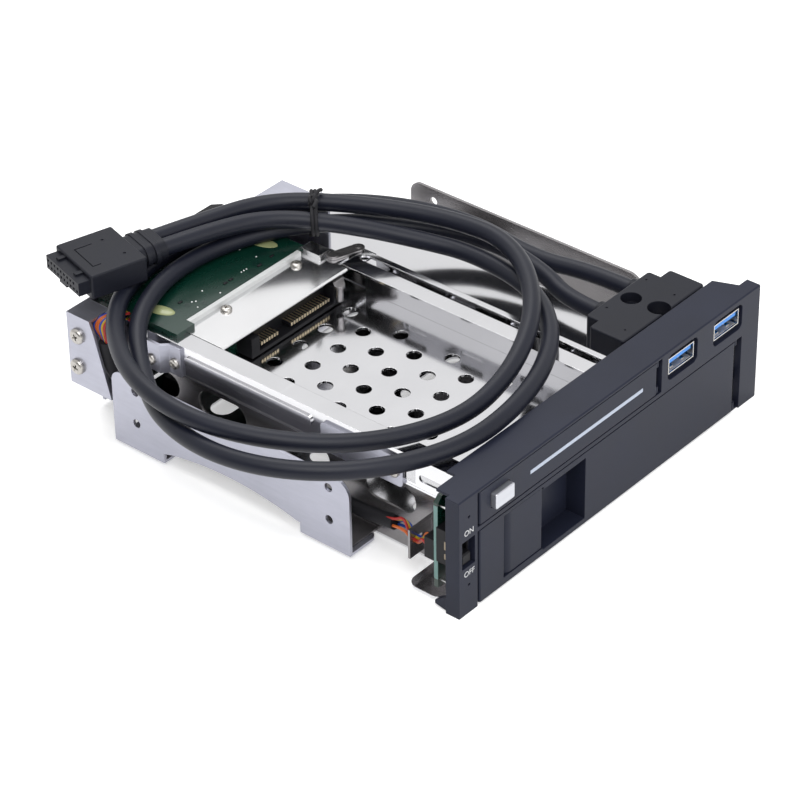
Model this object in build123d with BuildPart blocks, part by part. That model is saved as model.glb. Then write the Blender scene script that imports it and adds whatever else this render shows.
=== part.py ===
"""Half-height hot swap drive cage: one 2.5 inch and one 3.5 inch trayless bay behind a moulded bezel.

Millimetres, +Z up. X runs to the right seen from the front. The origin is the bottom centre of the
cage's box.
Distances behind the bezel's face are given through back().
"""
import os
from math import asin, atan2, cos, degrees, pi, radians, sin, tan

from build123d import *

os.makedirs("parts", exist_ok=True)

# Overall size, set by a half-height 5.25 inch device bay
bezel_width = 149.0
bezel_height = 42.0
bay_width = 146.0
wall_rear = 158.7
button_proud = 2.0
power_socket_proud = 7.8
overall_depth = button_proud + wall_rear + power_socket_proud
face_y = button_proud - overall_depth / 2

# Running gaps and seats
slide_gap = 0.3
pin_gap = 0.05
seat_gap = 0.1

# Sheet metal
sheet = 0.8
bracket_sheet = 1.0

# Bezel
face_thick = 2.4
skirt_wall = 1.5
skirt_depth = 5.1
shelf_thick = 0.9
shelf_depth = 13.2
shelf_left = -bezel_width / 2 + 10.5
shelf_right = bezel_width / 2 - 7.5
left_shelf_depth = 10.0
column_left_edge = -bezel_width / 2 + 8.5
column_right_edge = bezel_width / 2 - 9.0
crossbar_bottom = 27.4
crossbar_top = 28.8
usb_panel_left = 23.2

# Doors
upper_door_left = column_left_edge + 1.1
upper_door_right = 20.7
upper_door_bottom = crossbar_top + 0.4
upper_door_top = bezel_height - 1.2
upper_door_middle = (upper_door_bottom + upper_door_top) / 2
lower_door_left = column_left_edge + 1.0
lower_door_right = column_right_edge - 3.5
lower_door_bottom = 0.7
lower_door_top = crossbar_bottom - 0.4
door_thick = 2.4
door_edge_round = 0.6

# Door hinges: a short knuckle at each end of the door on a steel pin
upper_hinge_x = 21.4
upper_hinge_back = 1.7
lower_hinge_x = column_right_edge - 2.2
lower_hinge_back = 1.9
knuckle_radius = 1.35
knuckle_height = 2.2
hinge_pin_radius = 0.6

# Finger pocket and latch handle in the lower door
pocket_left = -35.0
pocket_right = -14.5
pocket_bottom = 2.6
pocket_top = 25.0
pocket_depth = 7.2
pocket_wall = 1.1
latch_left = -53.2
latch_right = -35.2
latch_bottom = 3.5
latch_top = 25.6
latch_front = 0.2
latch_thick = 1.5
latch_curve = 3.2
latch_curve_radius = (latch_curve ** 2 + latch_thick ** 2) / (2 * latch_thick)
latch_pivot_x = -51.2
latch_pivot_back = 2.2
latch_pin_radius = 0.7
latch_boss_radius = 1.5

# Eject button on the upper door
button_width = 8.6
button_height = 5.2
button_x = -55.4
button_z = upper_door_middle
button_clear = 0.25

# Light bar on the upper door
light_left = -41.3
light_right = 13.6
light_bottom = upper_door_middle - 1.0
light_height = 1.3
light_depth = 1.4

# Power switch in the left column
switch_left = -bezel_width / 2 + 1.4
switch_right = -bezel_width / 2 + 7.3
switch_bottom = 17.2
switch_top = 27.0
knob_width = 3.4
knob_height = 3.8
knob_travel = 4.0
pin_hole_radius = 0.5
pin_hole_x = -bezel_width / 2 + 4.6
pin_hole_low = 10.5
pin_hole_high = bezel_height - 7.0

# USB sockets in the bezel
usb_port_x = (33.9, 57.5)
usb_port_z = bezel_height - 6.5
usb_recess_width = 15.3
usb_recess_height = 9.2
usb_shell_width = 13.1
usb_shell_height = 5.7
usb_shell_wall = 0.35
usb_tongue_width = 11.2
usb_tongue_height = 1.9

# Lower cage, a 3.5 inch drive wide and high
base_bottom = 0.7
lower_bay_left = -57.2
lower_bay_width = 102.4
lower_bay_right = lower_bay_left + lower_bay_width
base_top = base_bottom + sheet
cage_front = 14.0
cage_rear = 154.0

# Upper tray, a 2.5 inch drive wide
tray_floor_top = 30.0
tray_floor_bottom = tray_floor_top - sheet
upper_bay_left = -62.2
upper_bay_width = 70.4
upper_bay_right = upper_bay_left + upper_bay_width
rail_top = 40.3
rail_lip_left = 5.9
rail_lip_right = 4.9
channel_outer = 14.5
tray_front = 7.0
channel_slot_width = 3.2
vent_radius = 2.5
vent_pitch = 12.0
vent_row_pitch = vent_pitch * cos(radians(30))
vent_first_x = -4.2
vent_first_back = 101.7
vent_rows = 9
vent_columns = 5

# Side brackets
bracket_front = 43.3
bracket_rear = 140.6
bracket_bottom = 1.5
bracket_top = 28.2
foot_width = 13.0
foot_round = 3.0
front_foot_end = 63.3
rear_foot_start = 119.5
foot_notch_top = 5.1
arch_middle = (91.7, 8.6)
bay_hole_first_back = 51.45
bay_hole_pitch_back = 79.25
bay_hole_first_z = 11.68
bay_hole_pitch_z = 11.84
bay_hole_radius = 1.5
rivet_radius = 1.5
rivet_x = bay_width / 2 - 7.0
rivet_backs = (53.0, 129.5)

# Drives that the bays take
large_drive_rear = 154.5

# Rear cover
cover_wall = 1.0
cover_top = 42.0
cover_side_bottom = 15.8
cover_side_front = 149.0
cover_strip_right = -63.5
cover_right_left = 9.0
cover_right_right = 28.0
cover_right_front = 138.0

# Connector cover plate, boards and connectors
plate_left = -56.0
plate_right = 2.5
plate_front = 108.4
plate_rear = 126.5
board_thick = 1.6
board_left = -60.9
board_right = 2.3
board_front = 126.6
board_rear = 157.0
board_lug_front = 122.9
board_lug_right = -53.0
connector_left = -44.0
connector_right = -1.7
connector_front = 107.5
connector_rear = 114.0
connector_bottom = 30.5
connector_top = 37.5

# USB housing on the right
usb_block_left = 22.0
usb_block_right = 64.0
usb_block_front = 13.8
usb_block_step = 27.3
usb_block_rear = 32.0
usb_tail_left = 26.5
usb_tail_right = 59.0
usb_screw_x = 44.1
usb_screw_back = 16.8

# Ejectors: a bar pushed back by each opening door turns a lever that pushes the drive out
tail_reach = 4.2
tail_front = 0.9
tail_thick = 1.2
foot_gap = 0.4
foot_reach = 4.6
bar_thick = 1.0
lever_arm_x = 8.8
lever_arm_back = 3.0
lever_pin_radius = 1.0
lever_pin_gap = 0.08
lever_post_radius = 1.5
upper_pivot_x = 4.8
upper_pivot_back = 116.4
upper_bar_left = 9.6
lower_pivot_x = 49.5
lower_pivot_back = 150.0
lower_bar_left = 57.8

# USB cables with their header plug, which rests on the coil, and the tie round the coil
cable_radius = 2.9
cable_exit_x = (37.5, 54.5)
cable_exit_z = 36.2
header_rear = (-47.4, 155.0)
header_direction = (0.96, -0.28, 0)
header_width = 22.7
header_length = 20.0
header_height = 8.2
header_bottom = 48.3
header_nose = 4.0
relief_length = 10.0
relief_width = 14.0
relief_height = 7.0
cable_leave_z = 52.2
tie_width = 2.0
tie_thick = 1.1

# Wires to the front board
sleeve_radius = 2.2
wire_radius = 0.45
wire_pitch = 1.05
wire_offsets = (-1.5 * wire_pitch, -0.5 * wire_pitch, 0.5 * wire_pitch, 1.5 * wire_pitch)
wire_hole_x = (bracket_sheet - bay_width / 2 + lower_bay_left - sheet) / 2 + 0.5
connector_x = -bezel_width / 2 + 6.4


def back(distance):
    """Y position a distance behind the bezel's face."""
    return face_y + distance


def level(height):
    """Horizontal sketch plane at a height: local axes are X and Y."""
    return Plane.XY.offset(height)


def upright(distance):
    """Sketch plane that faces the front, a distance behind the face: local axes are X and Z."""
    return Plane(origin=(0, back(distance), 0), x_dir=(1, 0, 0), z_dir=(0, -1, 0))


def side(x):
    """Sketch plane that faces right at a place on X: local axes are Y and Z."""
    return Plane(origin=(x, 0, 0), x_dir=(0, 1, 0), z_dir=(1, 0, 0))


def panel(low, high, round_by=0.0, mode=Mode.ADD):
    """Draw a rectangle in the open sketch from its low corner to its high corner."""
    width = high[0] - low[0]
    height = high[1] - low[1]
    with Locations(((low[0] + high[0]) / 2, (low[1] + high[1]) / 2)):
        if round_by > 0:
            RectangleRounded(width, height, round_by, mode=mode)
        else:
            Rectangle(width, height, mode=mode)


def block(low, high, round_by=0.0, mode=Mode.ADD):
    """Add or cut an upright block between two corners, with Y counted behind the face."""
    with BuildSketch(level(low[2])) as outline:
        panel((low[0], back(low[1])), (high[0], back(high[1])), round_by)
    extrude(outline.sketch, amount=high[2] - low[2], mode=mode)


def front_prism(low, high, start, depth, round_by=0.0, mode=Mode.SUBTRACT):
    """Cut or add a prism seen from the front, from a start distance and running back by a depth."""
    with BuildSketch(upright(start)) as outline:
        panel(low, high, round_by)
    extrude(outline.sketch, amount=-depth, mode=mode)


def side_prism(x, width, low, high, round_by=0.0, mode=Mode.SUBTRACT):
    """Cut or add a prism seen from the right side, centred on x, with corners given as (back, z)."""
    with BuildSketch(side(x)) as outline:
        panel((back(low[0]), low[1]), (back(high[0]), high[1]), round_by)
    extrude(outline.sketch, amount=width / 2, both=True, mode=mode)


def post(x, distance, low, high, radius, mode=Mode.ADD):
    """Add or cut an upright round post between two heights."""
    with BuildSketch(level(low)) as outline:
        with Locations((x, back(distance))):
            Circle(radius)
    extrude(outline.sketch, amount=high - low, mode=mode)


def finish(part, name):
    """Label a finished piece and write it out."""
    part.label = name
    export_step(part, f"parts/{name}.step")
    return part


# Bezel: face, skirts, top shelf, door openings and hinge seats
with BuildPart() as bezel:
    half_width = bezel_width / 2
    front_prism((-half_width, 0), (half_width, bezel_height), 0, face_thick, mode=Mode.ADD)
    # Side and top skirts behind the face
    block((-half_width, 0, 0), (-half_width + skirt_wall, skirt_depth, bezel_height))
    block((half_width - skirt_wall, 0, 0), (half_width, skirt_depth, bezel_height))
    with BuildSketch(level(bezel_height - shelf_thick)):
        with BuildLine():
            Polyline(
                (-half_width, back(0)), (half_width, back(0)), (half_width, back(skirt_depth)),
                (half_width - 4.3, back(skirt_depth)), (shelf_right, back(shelf_depth)),
                (shelf_left, back(shelf_depth)), (shelf_left, back(left_shelf_depth)),
                (shelf_left - 8.6, back(left_shelf_depth)), (shelf_left - 8.6, back(skirt_depth)),
                (-half_width, back(skirt_depth)), close=True,
            )
        make_face()
    extrude(amount=shelf_thick)
    # Openings for the two doors
    front_prism((column_left_edge, crossbar_top), (usb_panel_left, bezel_height - shelf_thick), 0, face_thick)
    front_prism((column_left_edge, 0), (column_right_edge, crossbar_bottom), 0, face_thick)
    # Crossbar shelf that carries the tray's front edge and the hinge pins
    block((column_left_edge, face_thick, crossbar_bottom), (column_right_edge, 6.0, crossbar_top))
    # Foot lug under the lower hinge pin
    block((column_right_edge - 4.0, 0.6, 0), (column_right_edge + 3.0, 5.0, lower_door_bottom - 0.1))
    # Inner walls of the two columns
    block((column_left_edge - skirt_wall, face_thick, 0), (column_left_edge, skirt_depth, crossbar_top))
    block((half_width - 6.0, face_thick, 0), (half_width - 4.8, skirt_depth, crossbar_bottom))
    # Hinge pin bores
    post(upper_hinge_x, upper_hinge_back, crossbar_bottom + 0.2, bezel_height - 0.5,
         hinge_pin_radius + pin_gap, mode=Mode.SUBTRACT)
    post(lower_hinge_x, lower_hinge_back, 0.2, crossbar_top - 0.3,
         hinge_pin_radius + pin_gap, mode=Mode.SUBTRACT)
    # Power switch window and the two pin holes beside it
    front_prism((switch_left, switch_bottom), (switch_right, switch_top), 0, face_thick)
    with BuildSketch(upright(0)):
        with Locations((pin_hole_x, pin_hole_low), (pin_hole_x, pin_hole_high)):
            Circle(pin_hole_radius)
    extrude(amount=-face_thick, mode=Mode.SUBTRACT)
    # USB recesses: round-cornered mouths with a stepped floor behind
    with BuildSketch(upright(0)):
        with Locations(*[(x, usb_port_z) for x in usb_port_x]):
            RectangleRounded(usb_recess_width, usb_recess_height, 2.0)
    extrude(amount=-1.4, mode=Mode.SUBTRACT)
    with BuildSketch(upright(1.0)):
        with Locations(*[(x, usb_port_z) for x in usb_port_x]):
            Rectangle(usb_shell_width + 2 * seat_gap, usb_shell_height + 2 * seat_gap)
    extrude(amount=-3.0, mode=Mode.SUBTRACT)
    # Bottom hook at the rear of the left skirt
    with BuildSketch(side(-half_width + 0.6)):
        with BuildLine():
            Polyline((back(skirt_depth), 0.3), (back(skirt_depth + 4.6), 1.2), (back(skirt_depth + 4.6), 2.4),
                     (back(skirt_depth), 5.6), close=True)
        make_face()
    extrude(amount=2.3)
    fillet(bezel.edges().filter_by(Axis.X).group_by(Axis.Z)[-1].group_by(Axis.Y)[0], 0.5)
finish(bezel.part, "bezel")


def hinge_door(part, left, right, bottom, top, hinge_x, hinge_back, lug_bottom, lug_top):
    """Build the plate of a door in an open part, with its knuckles, pin bore and tail lug."""
    front_prism((left, bottom), (right, top), 0, door_thick, mode=Mode.ADD)
    corners = part.edges().filter_by(Axis.Z).group_by(Axis.Y)[0]
    fillet(corners.sort_by(Axis.X)[-1], knuckle_radius / 2)
    fillet(part.edges().filter_by(Axis.Z).group_by(Axis.Y)[0].sort_by(Axis.X)[0], door_edge_round)
    for low in (bottom, top - knuckle_height):
        post(hinge_x, hinge_back, low, low + knuckle_height, knuckle_radius)
        block((right - 1.0, hinge_back - 0.9, low), (hinge_x, door_thick, low + knuckle_height))
    # Tail lug that pushes the eject bar back as the door opens
    lug_front = hinge_back + tail_front
    block((right - 3.0, lug_front, lug_bottom), (hinge_x + tail_reach, lug_front + tail_thick, lug_top))
    block((right - 3.0, door_thick - 0.2, lug_bottom), (right - 0.6, lug_front, lug_top))
    post(hinge_x, hinge_back, bottom - 1, top + 1, hinge_pin_radius + pin_gap, mode=Mode.SUBTRACT)


# Upper door with its light bar groove, button hole and button holder
with BuildPart() as upper_door:
    hinge_door(upper_door, upper_door_left, upper_door_right, upper_door_bottom, upper_door_top,
               upper_hinge_x, upper_hinge_back, 33.4, 35.8)
    holder_left = button_x - button_width / 2 - 2.0
    holder_right = button_x + button_width / 2 + 2.0
    holder_top = button_z + button_height / 2 + 1.9
    block((holder_left, door_thick, upper_door_bottom), (holder_right, 6.0, holder_top))
    block((holder_left + 0.9, door_thick, upper_door_bottom), (holder_right - 0.9, 5.0, holder_top - 0.9),
          mode=Mode.SUBTRACT)
    front_prism((button_x - button_width / 2 - button_clear, button_z - button_height / 2 - button_clear),
                (button_x + button_width / 2 + button_clear, button_z + button_height / 2 + button_clear),
                0, door_thick, round_by=0.6)
    front_prism((light_left - 0.05, light_bottom - 0.05),
                (light_right + 0.05, light_bottom + light_height + 0.05),
                0, light_depth + 0.05)
finish(upper_door.part, "upper_door")

with BuildPart() as light_bar:
    front_prism((light_left, light_bottom), (light_right, light_bottom + light_height), 0, light_depth,
                mode=Mode.ADD)
finish(light_bar.part, "light_bar")

# Eject button: cap through the door and a flange behind it
with BuildPart() as eject_button:
    front_prism((button_x - button_width / 2, button_z - button_height / 2),
                (button_x + button_width / 2, button_z + button_height / 2),
                -button_proud, button_proud + door_thick + 0.3, round_by=0.5, mode=Mode.ADD)
    fillet(eject_button.edges().group_by(Axis.Y)[0], 0.4)
    front_prism((button_x - button_width / 2 - 0.8, button_z - button_height / 2 - 0.6),
                (button_x + button_width / 2 + 0.8, button_z + button_height / 2 + 0.6),
                door_thick + 0.2, 0.8, mode=Mode.ADD)
finish(eject_button.part, "eject_button")

# Hinge pins: plain steel pins held by the bezel
with BuildPart() as upper_hinge_pin:
    post(upper_hinge_x, upper_hinge_back, crossbar_bottom + 0.4, bezel_height - 0.6, hinge_pin_radius)
finish(upper_hinge_pin.part, "upper_hinge_pin")

with BuildPart() as lower_hinge_pin:
    post(lower_hinge_x, lower_hinge_back, 0.3, crossbar_top - 0.4, hinge_pin_radius)
finish(lower_hinge_pin.part, "lower_hinge_pin")

# Lower door: plate, moulded tub with finger pocket and handle recess
recess_left = latch_left - 0.6
recess_bottom = latch_bottom - 0.3
recess_top = latch_top + 0.3
tub_rear = pocket_depth + pocket_wall
hook_bottom = 12.5
hook_top = 15.5
with BuildPart() as lower_door:
    hinge_door(lower_door, lower_door_left, lower_door_right, lower_door_bottom, lower_door_top,
               lower_hinge_x, lower_hinge_back, 10.0, 14.0)
    block((recess_left - 1.0, door_thick, 1.2), (pocket_right + pocket_wall, tub_rear, recess_top + 0.7))
    front_prism((recess_left, recess_bottom), (pocket_left, recess_top), 0, 4.1)
    front_prism((pocket_left - 0.1, pocket_bottom), (pocket_right, pocket_top), 0, pocket_depth)
    block((recess_left - 2.0, door_thick, hook_bottom - 0.5), (latch_pivot_x + 0.7, tub_rear, hook_top + 0.5),
          mode=Mode.SUBTRACT)
    post(latch_pivot_x, latch_pivot_back, recess_bottom - 1.2, recess_top + 0.5,
         latch_pin_radius + pin_gap, mode=Mode.SUBTRACT)
finish(lower_door.part, "lower_door")

with BuildPart() as latch_pin:
    post(latch_pivot_x, latch_pivot_back, recess_bottom - 1.1, recess_top + 0.4, latch_pin_radius)
finish(latch_pin.part, "latch_pin")

# Pull handle: barrel on the pin, curved grip plate and a hook arm behind it
with BuildPart() as latch_handle:
    half_turn = asin(latch_curve / latch_curve_radius) / 2
    with BuildSketch(level(latch_bottom)):
        with BuildLine():
            Polyline((latch_left + latch_curve, back(latch_front)), (latch_right, back(latch_front)),
                     (latch_right, back(latch_front + latch_thick)),
                     (latch_left, back(latch_front + latch_thick)))
            ThreePointArc((latch_left, back(latch_front + latch_thick)),
                          (latch_left + latch_curve - latch_curve_radius * sin(half_turn),
                           back(latch_front + latch_curve_radius * (1 - cos(half_turn)))),
                          (latch_left + latch_curve, back(latch_front)))
        make_face()
    extrude(amount=latch_top - latch_bottom)
    fillet(latch_handle.edges().filter_by(Axis.Z).group_by(Axis.Y)[0].sort_by(Axis.X)[-1], 0.6)
    post(latch_pivot_x, latch_pivot_back, latch_bottom, latch_top, latch_boss_radius)
    block((latch_pivot_x - 6.6, latch_pivot_back + 0.4, hook_bottom),
          (latch_pivot_x, latch_pivot_back + 1.4, hook_top))
    block((latch_pivot_x - 7.6, latch_pivot_back + 0.4, hook_bottom),
          (latch_pivot_x - 6.6, latch_pivot_back + 2.4, hook_top))
    post(latch_pivot_x, latch_pivot_back, latch_bottom - 1, latch_top + 1, latch_pin_radius + pin_gap,
         mode=Mode.SUBTRACT)
finish(latch_handle.part, "latch_handle")

# Power slide switch: hollow body behind the column window and its knob
switch_x = (switch_left + switch_right) / 2
knob_low = switch_bottom + 0.5
board_front_back = 10.0
with BuildPart() as switch_body:
    front_prism((switch_left + 0.3, switch_bottom - 1.2), (switch_right - 0.4, switch_top + 1.2),
                face_thick, board_front_back - face_thick, mode=Mode.ADD)
    front_prism((switch_x - knob_width / 2 - 0.3, knob_low - 0.3),
                (switch_x + knob_width / 2 + 0.3, knob_low + knob_height + knob_travel + 0.3),
                face_thick, 3.4)
finish(switch_body.part, "switch_body")

with BuildPart() as switch_knob:
    front_prism((switch_x - knob_width / 2, knob_low), (switch_x + knob_width / 2, knob_low + knob_height),
                0.8, face_thick + 3.1 - 0.8, mode=Mode.ADD)
    chamfer(switch_knob.edges().filter_by(Axis.X).group_by(Axis.Y)[0], 0.5)
finish(switch_knob.part, "switch_knob")

# Small upright board behind the left column, with its wire connector
front_board_left = -bezel_width / 2 + 2.5
front_board_right = -bezel_width / 2 + 10.2
with BuildPart() as front_board:
    front_prism((front_board_left, 5.5), (front_board_right, 38.0), board_front_back, board_thick,
                mode=Mode.ADD)
    chamfer(front_board.edges().filter_by(Axis.Y).group_by(Axis.Z)[-1].sort_by(Axis.X)[0], 2.0)
finish(front_board.part, "front_board")

with BuildPart() as board_connector:
    block((connector_x - 2.7, board_front_back + board_thick, 13.5),
          (connector_x + 2.7, board_front_back + board_thick + 4.6, 21.0))
    block((connector_x - 2.2, board_front_back + board_thick + 1.2, 14.3),
          (connector_x + 2.2, board_front_back + board_thick + 4.6, 20.2),
          mode=Mode.SUBTRACT)
finish(board_connector.part, "board_connector")

# Lower cage: pressed base with front ears, and two walls that stand on it
cage_left = lower_bay_left - sheet
cage_right = lower_bay_right + sheet
plate_bottom = tray_floor_bottom - sheet
tab_bottom = bracket_bottom + bracket_sheet
cage_tabs = ((45.0, 61.0), (121.0, 138.0))
with BuildPart() as lower_cage:
    with BuildSketch(level(base_bottom)):
        panel((cage_left, back(cage_front)), (cage_right, back(cage_rear)))
        # Rounded front ears reach out to both columns
        for ear_left, ear_right in ((front_board_left, cage_left + 4), (cage_right - 4, -front_board_left)):
            panel((ear_left, back(8.5)), (ear_right, back(22.5)), round_by=4.0)
        # Ear that carries the pivot of the lower ejector
        panel((cage_right - 1, back(lower_pivot_back - 6)), (lower_pivot_x + 4, back(cage_rear)))
        for slot_back in (42.0, 84.0, 126.0):
            with Locations((-28.0, back(slot_back)), (16.0, back(slot_back))):
                SlotOverall(30.0, 8.0, mode=Mode.SUBTRACT)
    extrude(amount=sheet)
finish(lower_cage.part, "lower_cage")


def cage_windows(wall_x, window_backs):
    """Cut a row of round-ended windows through the wall that stands at wall_x."""
    with BuildSketch(side(wall_x)) as windows:
        for window_back in window_backs:
            with Locations((back(window_back), 18.5)):
                SlotOverall(20.0, 9.0)
    extrude(windows.sketch, amount=sheet * 2, both=True, mode=Mode.SUBTRACT)


def rivet_bores(middle_x):
    """Bore the rivet holes through a wall's outward tabs."""
    for tab_back in rivet_backs:
        post(middle_x, tab_back, tab_bottom - 1, tab_bottom + sheet + 1, rivet_radius + seat_gap,
             mode=Mode.SUBTRACT)


with BuildPart() as left_cage_wall:
    block((cage_left, cage_front, base_top), (lower_bay_left, cage_rear, tray_floor_bottom))
    # Outward tabs that lie on the bracket's feet
    for tab_front, tab_rear in cage_tabs:
        block((-bay_width / 2 + 1.5, tab_front, tab_bottom), (cage_left, tab_rear, tab_bottom + sheet))
    # Front tab with the wire notch
    block((cage_left - 10.0, 24.1, 7.0), (cage_left, 24.1 + sheet, 17.5))
    block((wire_hole_x - 2.2, 23.0, 12.0), (wire_hole_x + 2.2, 26.0, 13.8), mode=Mode.SUBTRACT)
    cage_windows(cage_left, (40.0, 74.0, 108.0, 136.0))
    rivet_bores(-rivet_x)
finish(left_cage_wall.part, "left_cage_wall")

with BuildPart() as right_cage_wall:
    block((lower_bay_right, cage_front, base_top), (cage_right, cage_rear, plate_bottom))
    for tab_front, tab_rear in cage_tabs:
        block((cage_right, tab_front, tab_bottom), (bay_width / 2 - 1.5, tab_rear, tab_bottom + sheet))
    # Shelves under the eject bar
    for shelf_front in (36.0, 108.0):
        block((cage_right, shelf_front, 7.0), (lower_bar_left + 3.0, shelf_front + 8, 7.0 + sheet))
    cage_windows(cage_right, (40.0, 74.0))
    # Notch for the ejector
    block((lower_bay_right - 1, 146.0, 8.0), (cage_right + 1, cage_rear + 1, 18.0), mode=Mode.SUBTRACT)
    rivet_bores(rivet_x)
finish(right_cage_wall.part, "right_cage_wall")


def side_bracket(sign):
    """Build a side bracket in the open part: sign is -1 for the left one and 1 for the right one."""
    outer = sign * bay_width / 2
    inner = outer - sign * bracket_sheet
    with BuildSketch(side(min(outer, inner))) as outline:
        with BuildLine():
            Polyline((back(arch_middle[0] + 23.9), 6.2), (back(rear_foot_start), foot_notch_top),
                     (back(rear_foot_start), bracket_bottom), (back(bracket_rear), bracket_bottom),
                     (back(bracket_rear), bracket_top), (back(bracket_front), bracket_top),
                     (back(bracket_front), bracket_bottom), (back(front_foot_end), bracket_bottom),
                     (back(front_foot_end), foot_notch_top), (back(front_foot_end + 1.4), foot_notch_top))
            ThreePointArc((back(front_foot_end + 1.4), foot_notch_top),
                          (back(arch_middle[0]), arch_middle[1]),
                          (back(arch_middle[0] + 23.9), 6.2))
        make_face()
        top = outline.vertices().group_by(Axis.Y)[-1].sort_by(Axis.X)
        fillet(top[0], 6.0)
        fillet(outline.vertices().group_by(Axis.Y)[-1].sort_by(Axis.X)[-1], 4.0)
        for hole_back in (bay_hole_first_back, bay_hole_first_back + bay_hole_pitch_back):
            for hole_z in (bay_hole_first_z, bay_hole_first_z + bay_hole_pitch_z):
                with Locations((back(hole_back), hole_z)):
                    Circle(bay_hole_radius, mode=Mode.SUBTRACT)
    extrude(outline.sketch, amount=bracket_sheet)
    # Feet bent inwards
    for foot_front, foot_rear in ((bracket_front, front_foot_end), (rear_foot_start, bracket_rear)):
        low_x, high_x = sorted((outer, outer - sign * foot_width))
        with BuildSketch(level(bracket_bottom)) as foot:
            panel((low_x, back(foot_front)), (high_x, back(foot_rear)))
            fillet(foot.vertices().sort_by(Axis.X, reverse=sign < 0)[:2], foot_round)
        extrude(foot.sketch, amount=bracket_sheet)
    for tab_back in rivet_backs:
        post(sign * rivet_x, tab_back, bracket_bottom - 1, tab_bottom + 1, rivet_radius + seat_gap,
             mode=Mode.SUBTRACT)


with BuildPart() as left_bracket:
    side_bracket(-1)
finish(left_bracket.part, "left_bracket")

with BuildPart() as right_bracket:
    side_bracket(1)
finish(right_bracket.part, "right_bracket")

# Rivets through the feet and the cage's tabs
with BuildPart() as bracket_rivets:
    for middle_x in (-rivet_x, rivet_x):
        for rivet_back in rivet_backs:
            post(middle_x, rivet_back, bracket_bottom - 0.6, tab_bottom + sheet + 0.7, rivet_radius)
            post(middle_x, rivet_back, bracket_bottom - 0.6, bracket_bottom, rivet_radius + 1.0)
            post(middle_x, rivet_back, tab_bottom + sheet, tab_bottom + sheet + 0.7, rivet_radius + 1.0)
finish(bracket_rivets.part, "bracket_rivets")

# Polished plate that closes the cage on the right
with BuildPart() as right_top_plate:
    block((channel_outer - 4.0, 10.0, plate_bottom), (cage_right + 0.8, cage_rear, tray_floor_bottom))
    block((cage_right, 10.0, plate_bottom - 3.0), (cage_right + 0.8, cage_rear, tray_floor_bottom))
finish(right_top_plate.part, "right_top_plate")

# Upper tray: left wall with its rail flange and cheek
tray_left = upper_bay_left - sheet
wall_right = upper_bay_right + sheet
channel_front = 14.0
channel_rear = 106.0
flange_rear = 111.5
with BuildPart() as left_rail:
    block((tray_left, 8.0, tray_floor_top), (upper_bay_left, board_rear, rail_top))
    block((upper_bay_left, 8.0, rail_top - sheet), (upper_bay_left + rail_lip_left, board_rear, rail_top))
    # Pressed rib along the wall, the cheek's slot and the gap behind the cheek
    with BuildSketch(side(tray_left)):
        panel((back(66.0), 33.9), (back(118.0), 37.5), round_by=1.7)
    extrude(amount=-0.6)
    side_prism(upper_bay_left, 3 * sheet, (26.0, 31.0), (30.0, 38.5))
    side_prism(upper_bay_left, 3 * sheet, (11.0, 32.6), (24.5, 35.0), round_by=1.1)
    # Screw bores
    with BuildSketch(side(tray_left - 1)):
        with Locations((back(33.1), 32.8), (back(121.5), 33.5)):
            Circle(0.9)
    extrude(amount=sheet + 2, mode=Mode.SUBTRACT)
finish(left_rail.part, "left_rail")

# Upper tray: right wall, channel roof with its long slot and the channel's outer wall
with BuildPart() as right_rail:
    block((upper_bay_right, tray_front, tray_floor_top), (wall_right, channel_rear, rail_top))
    block((upper_bay_right - rail_lip_right, tray_front, rail_top - sheet),
          (channel_outer, flange_rear, rail_top))
    block((channel_outer - sheet, channel_front, tray_floor_top), (channel_outer, channel_rear, rail_top))
    with BuildSketch(level(rail_top - sheet)):
        with Locations((wall_right + channel_slot_width / 2 + 0.2, back((channel_front + 110.0) / 2))):
            SlotOverall(110.0 - channel_front, channel_slot_width, rotation=90)
    extrude(amount=sheet, mode=Mode.SUBTRACT)
    for window_back in (34.0, 58.0, 81.0):
        side_prism(wall_right, 3 * sheet, (window_back, 35.5), (window_back + 9.0, 38.0), round_by=0.5)
finish(right_rail.part, "right_rail")

# Perforated floor of the upper bay
with BuildPart() as tray_floor:
    with BuildSketch(level(tray_floor_bottom)):
        panel((tray_left, back(tray_front)), (channel_outer, back(board_rear)))
        for row in range(vent_rows):
            shift = vent_pitch / 2 if row % 2 else 0.0
            for column in range(vent_columns - row % 2):
                vent_x = vent_first_x - shift - column * vent_pitch
                with Locations((vent_x, back(vent_first_back - row * vent_row_pitch))):
                    Circle(vent_radius, mode=Mode.SUBTRACT)
    extrude(amount=sheet)
finish(tray_floor.part, "tray_floor")

# Upright tab that carries the rear of the circuit board
with BuildPart() as board_tab:
    block((-30.0, board_rear - 7.5, tray_floor_top), (-18.0, board_rear - 6.7, rail_top))
finish(board_tab.part, "board_tab")

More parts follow.
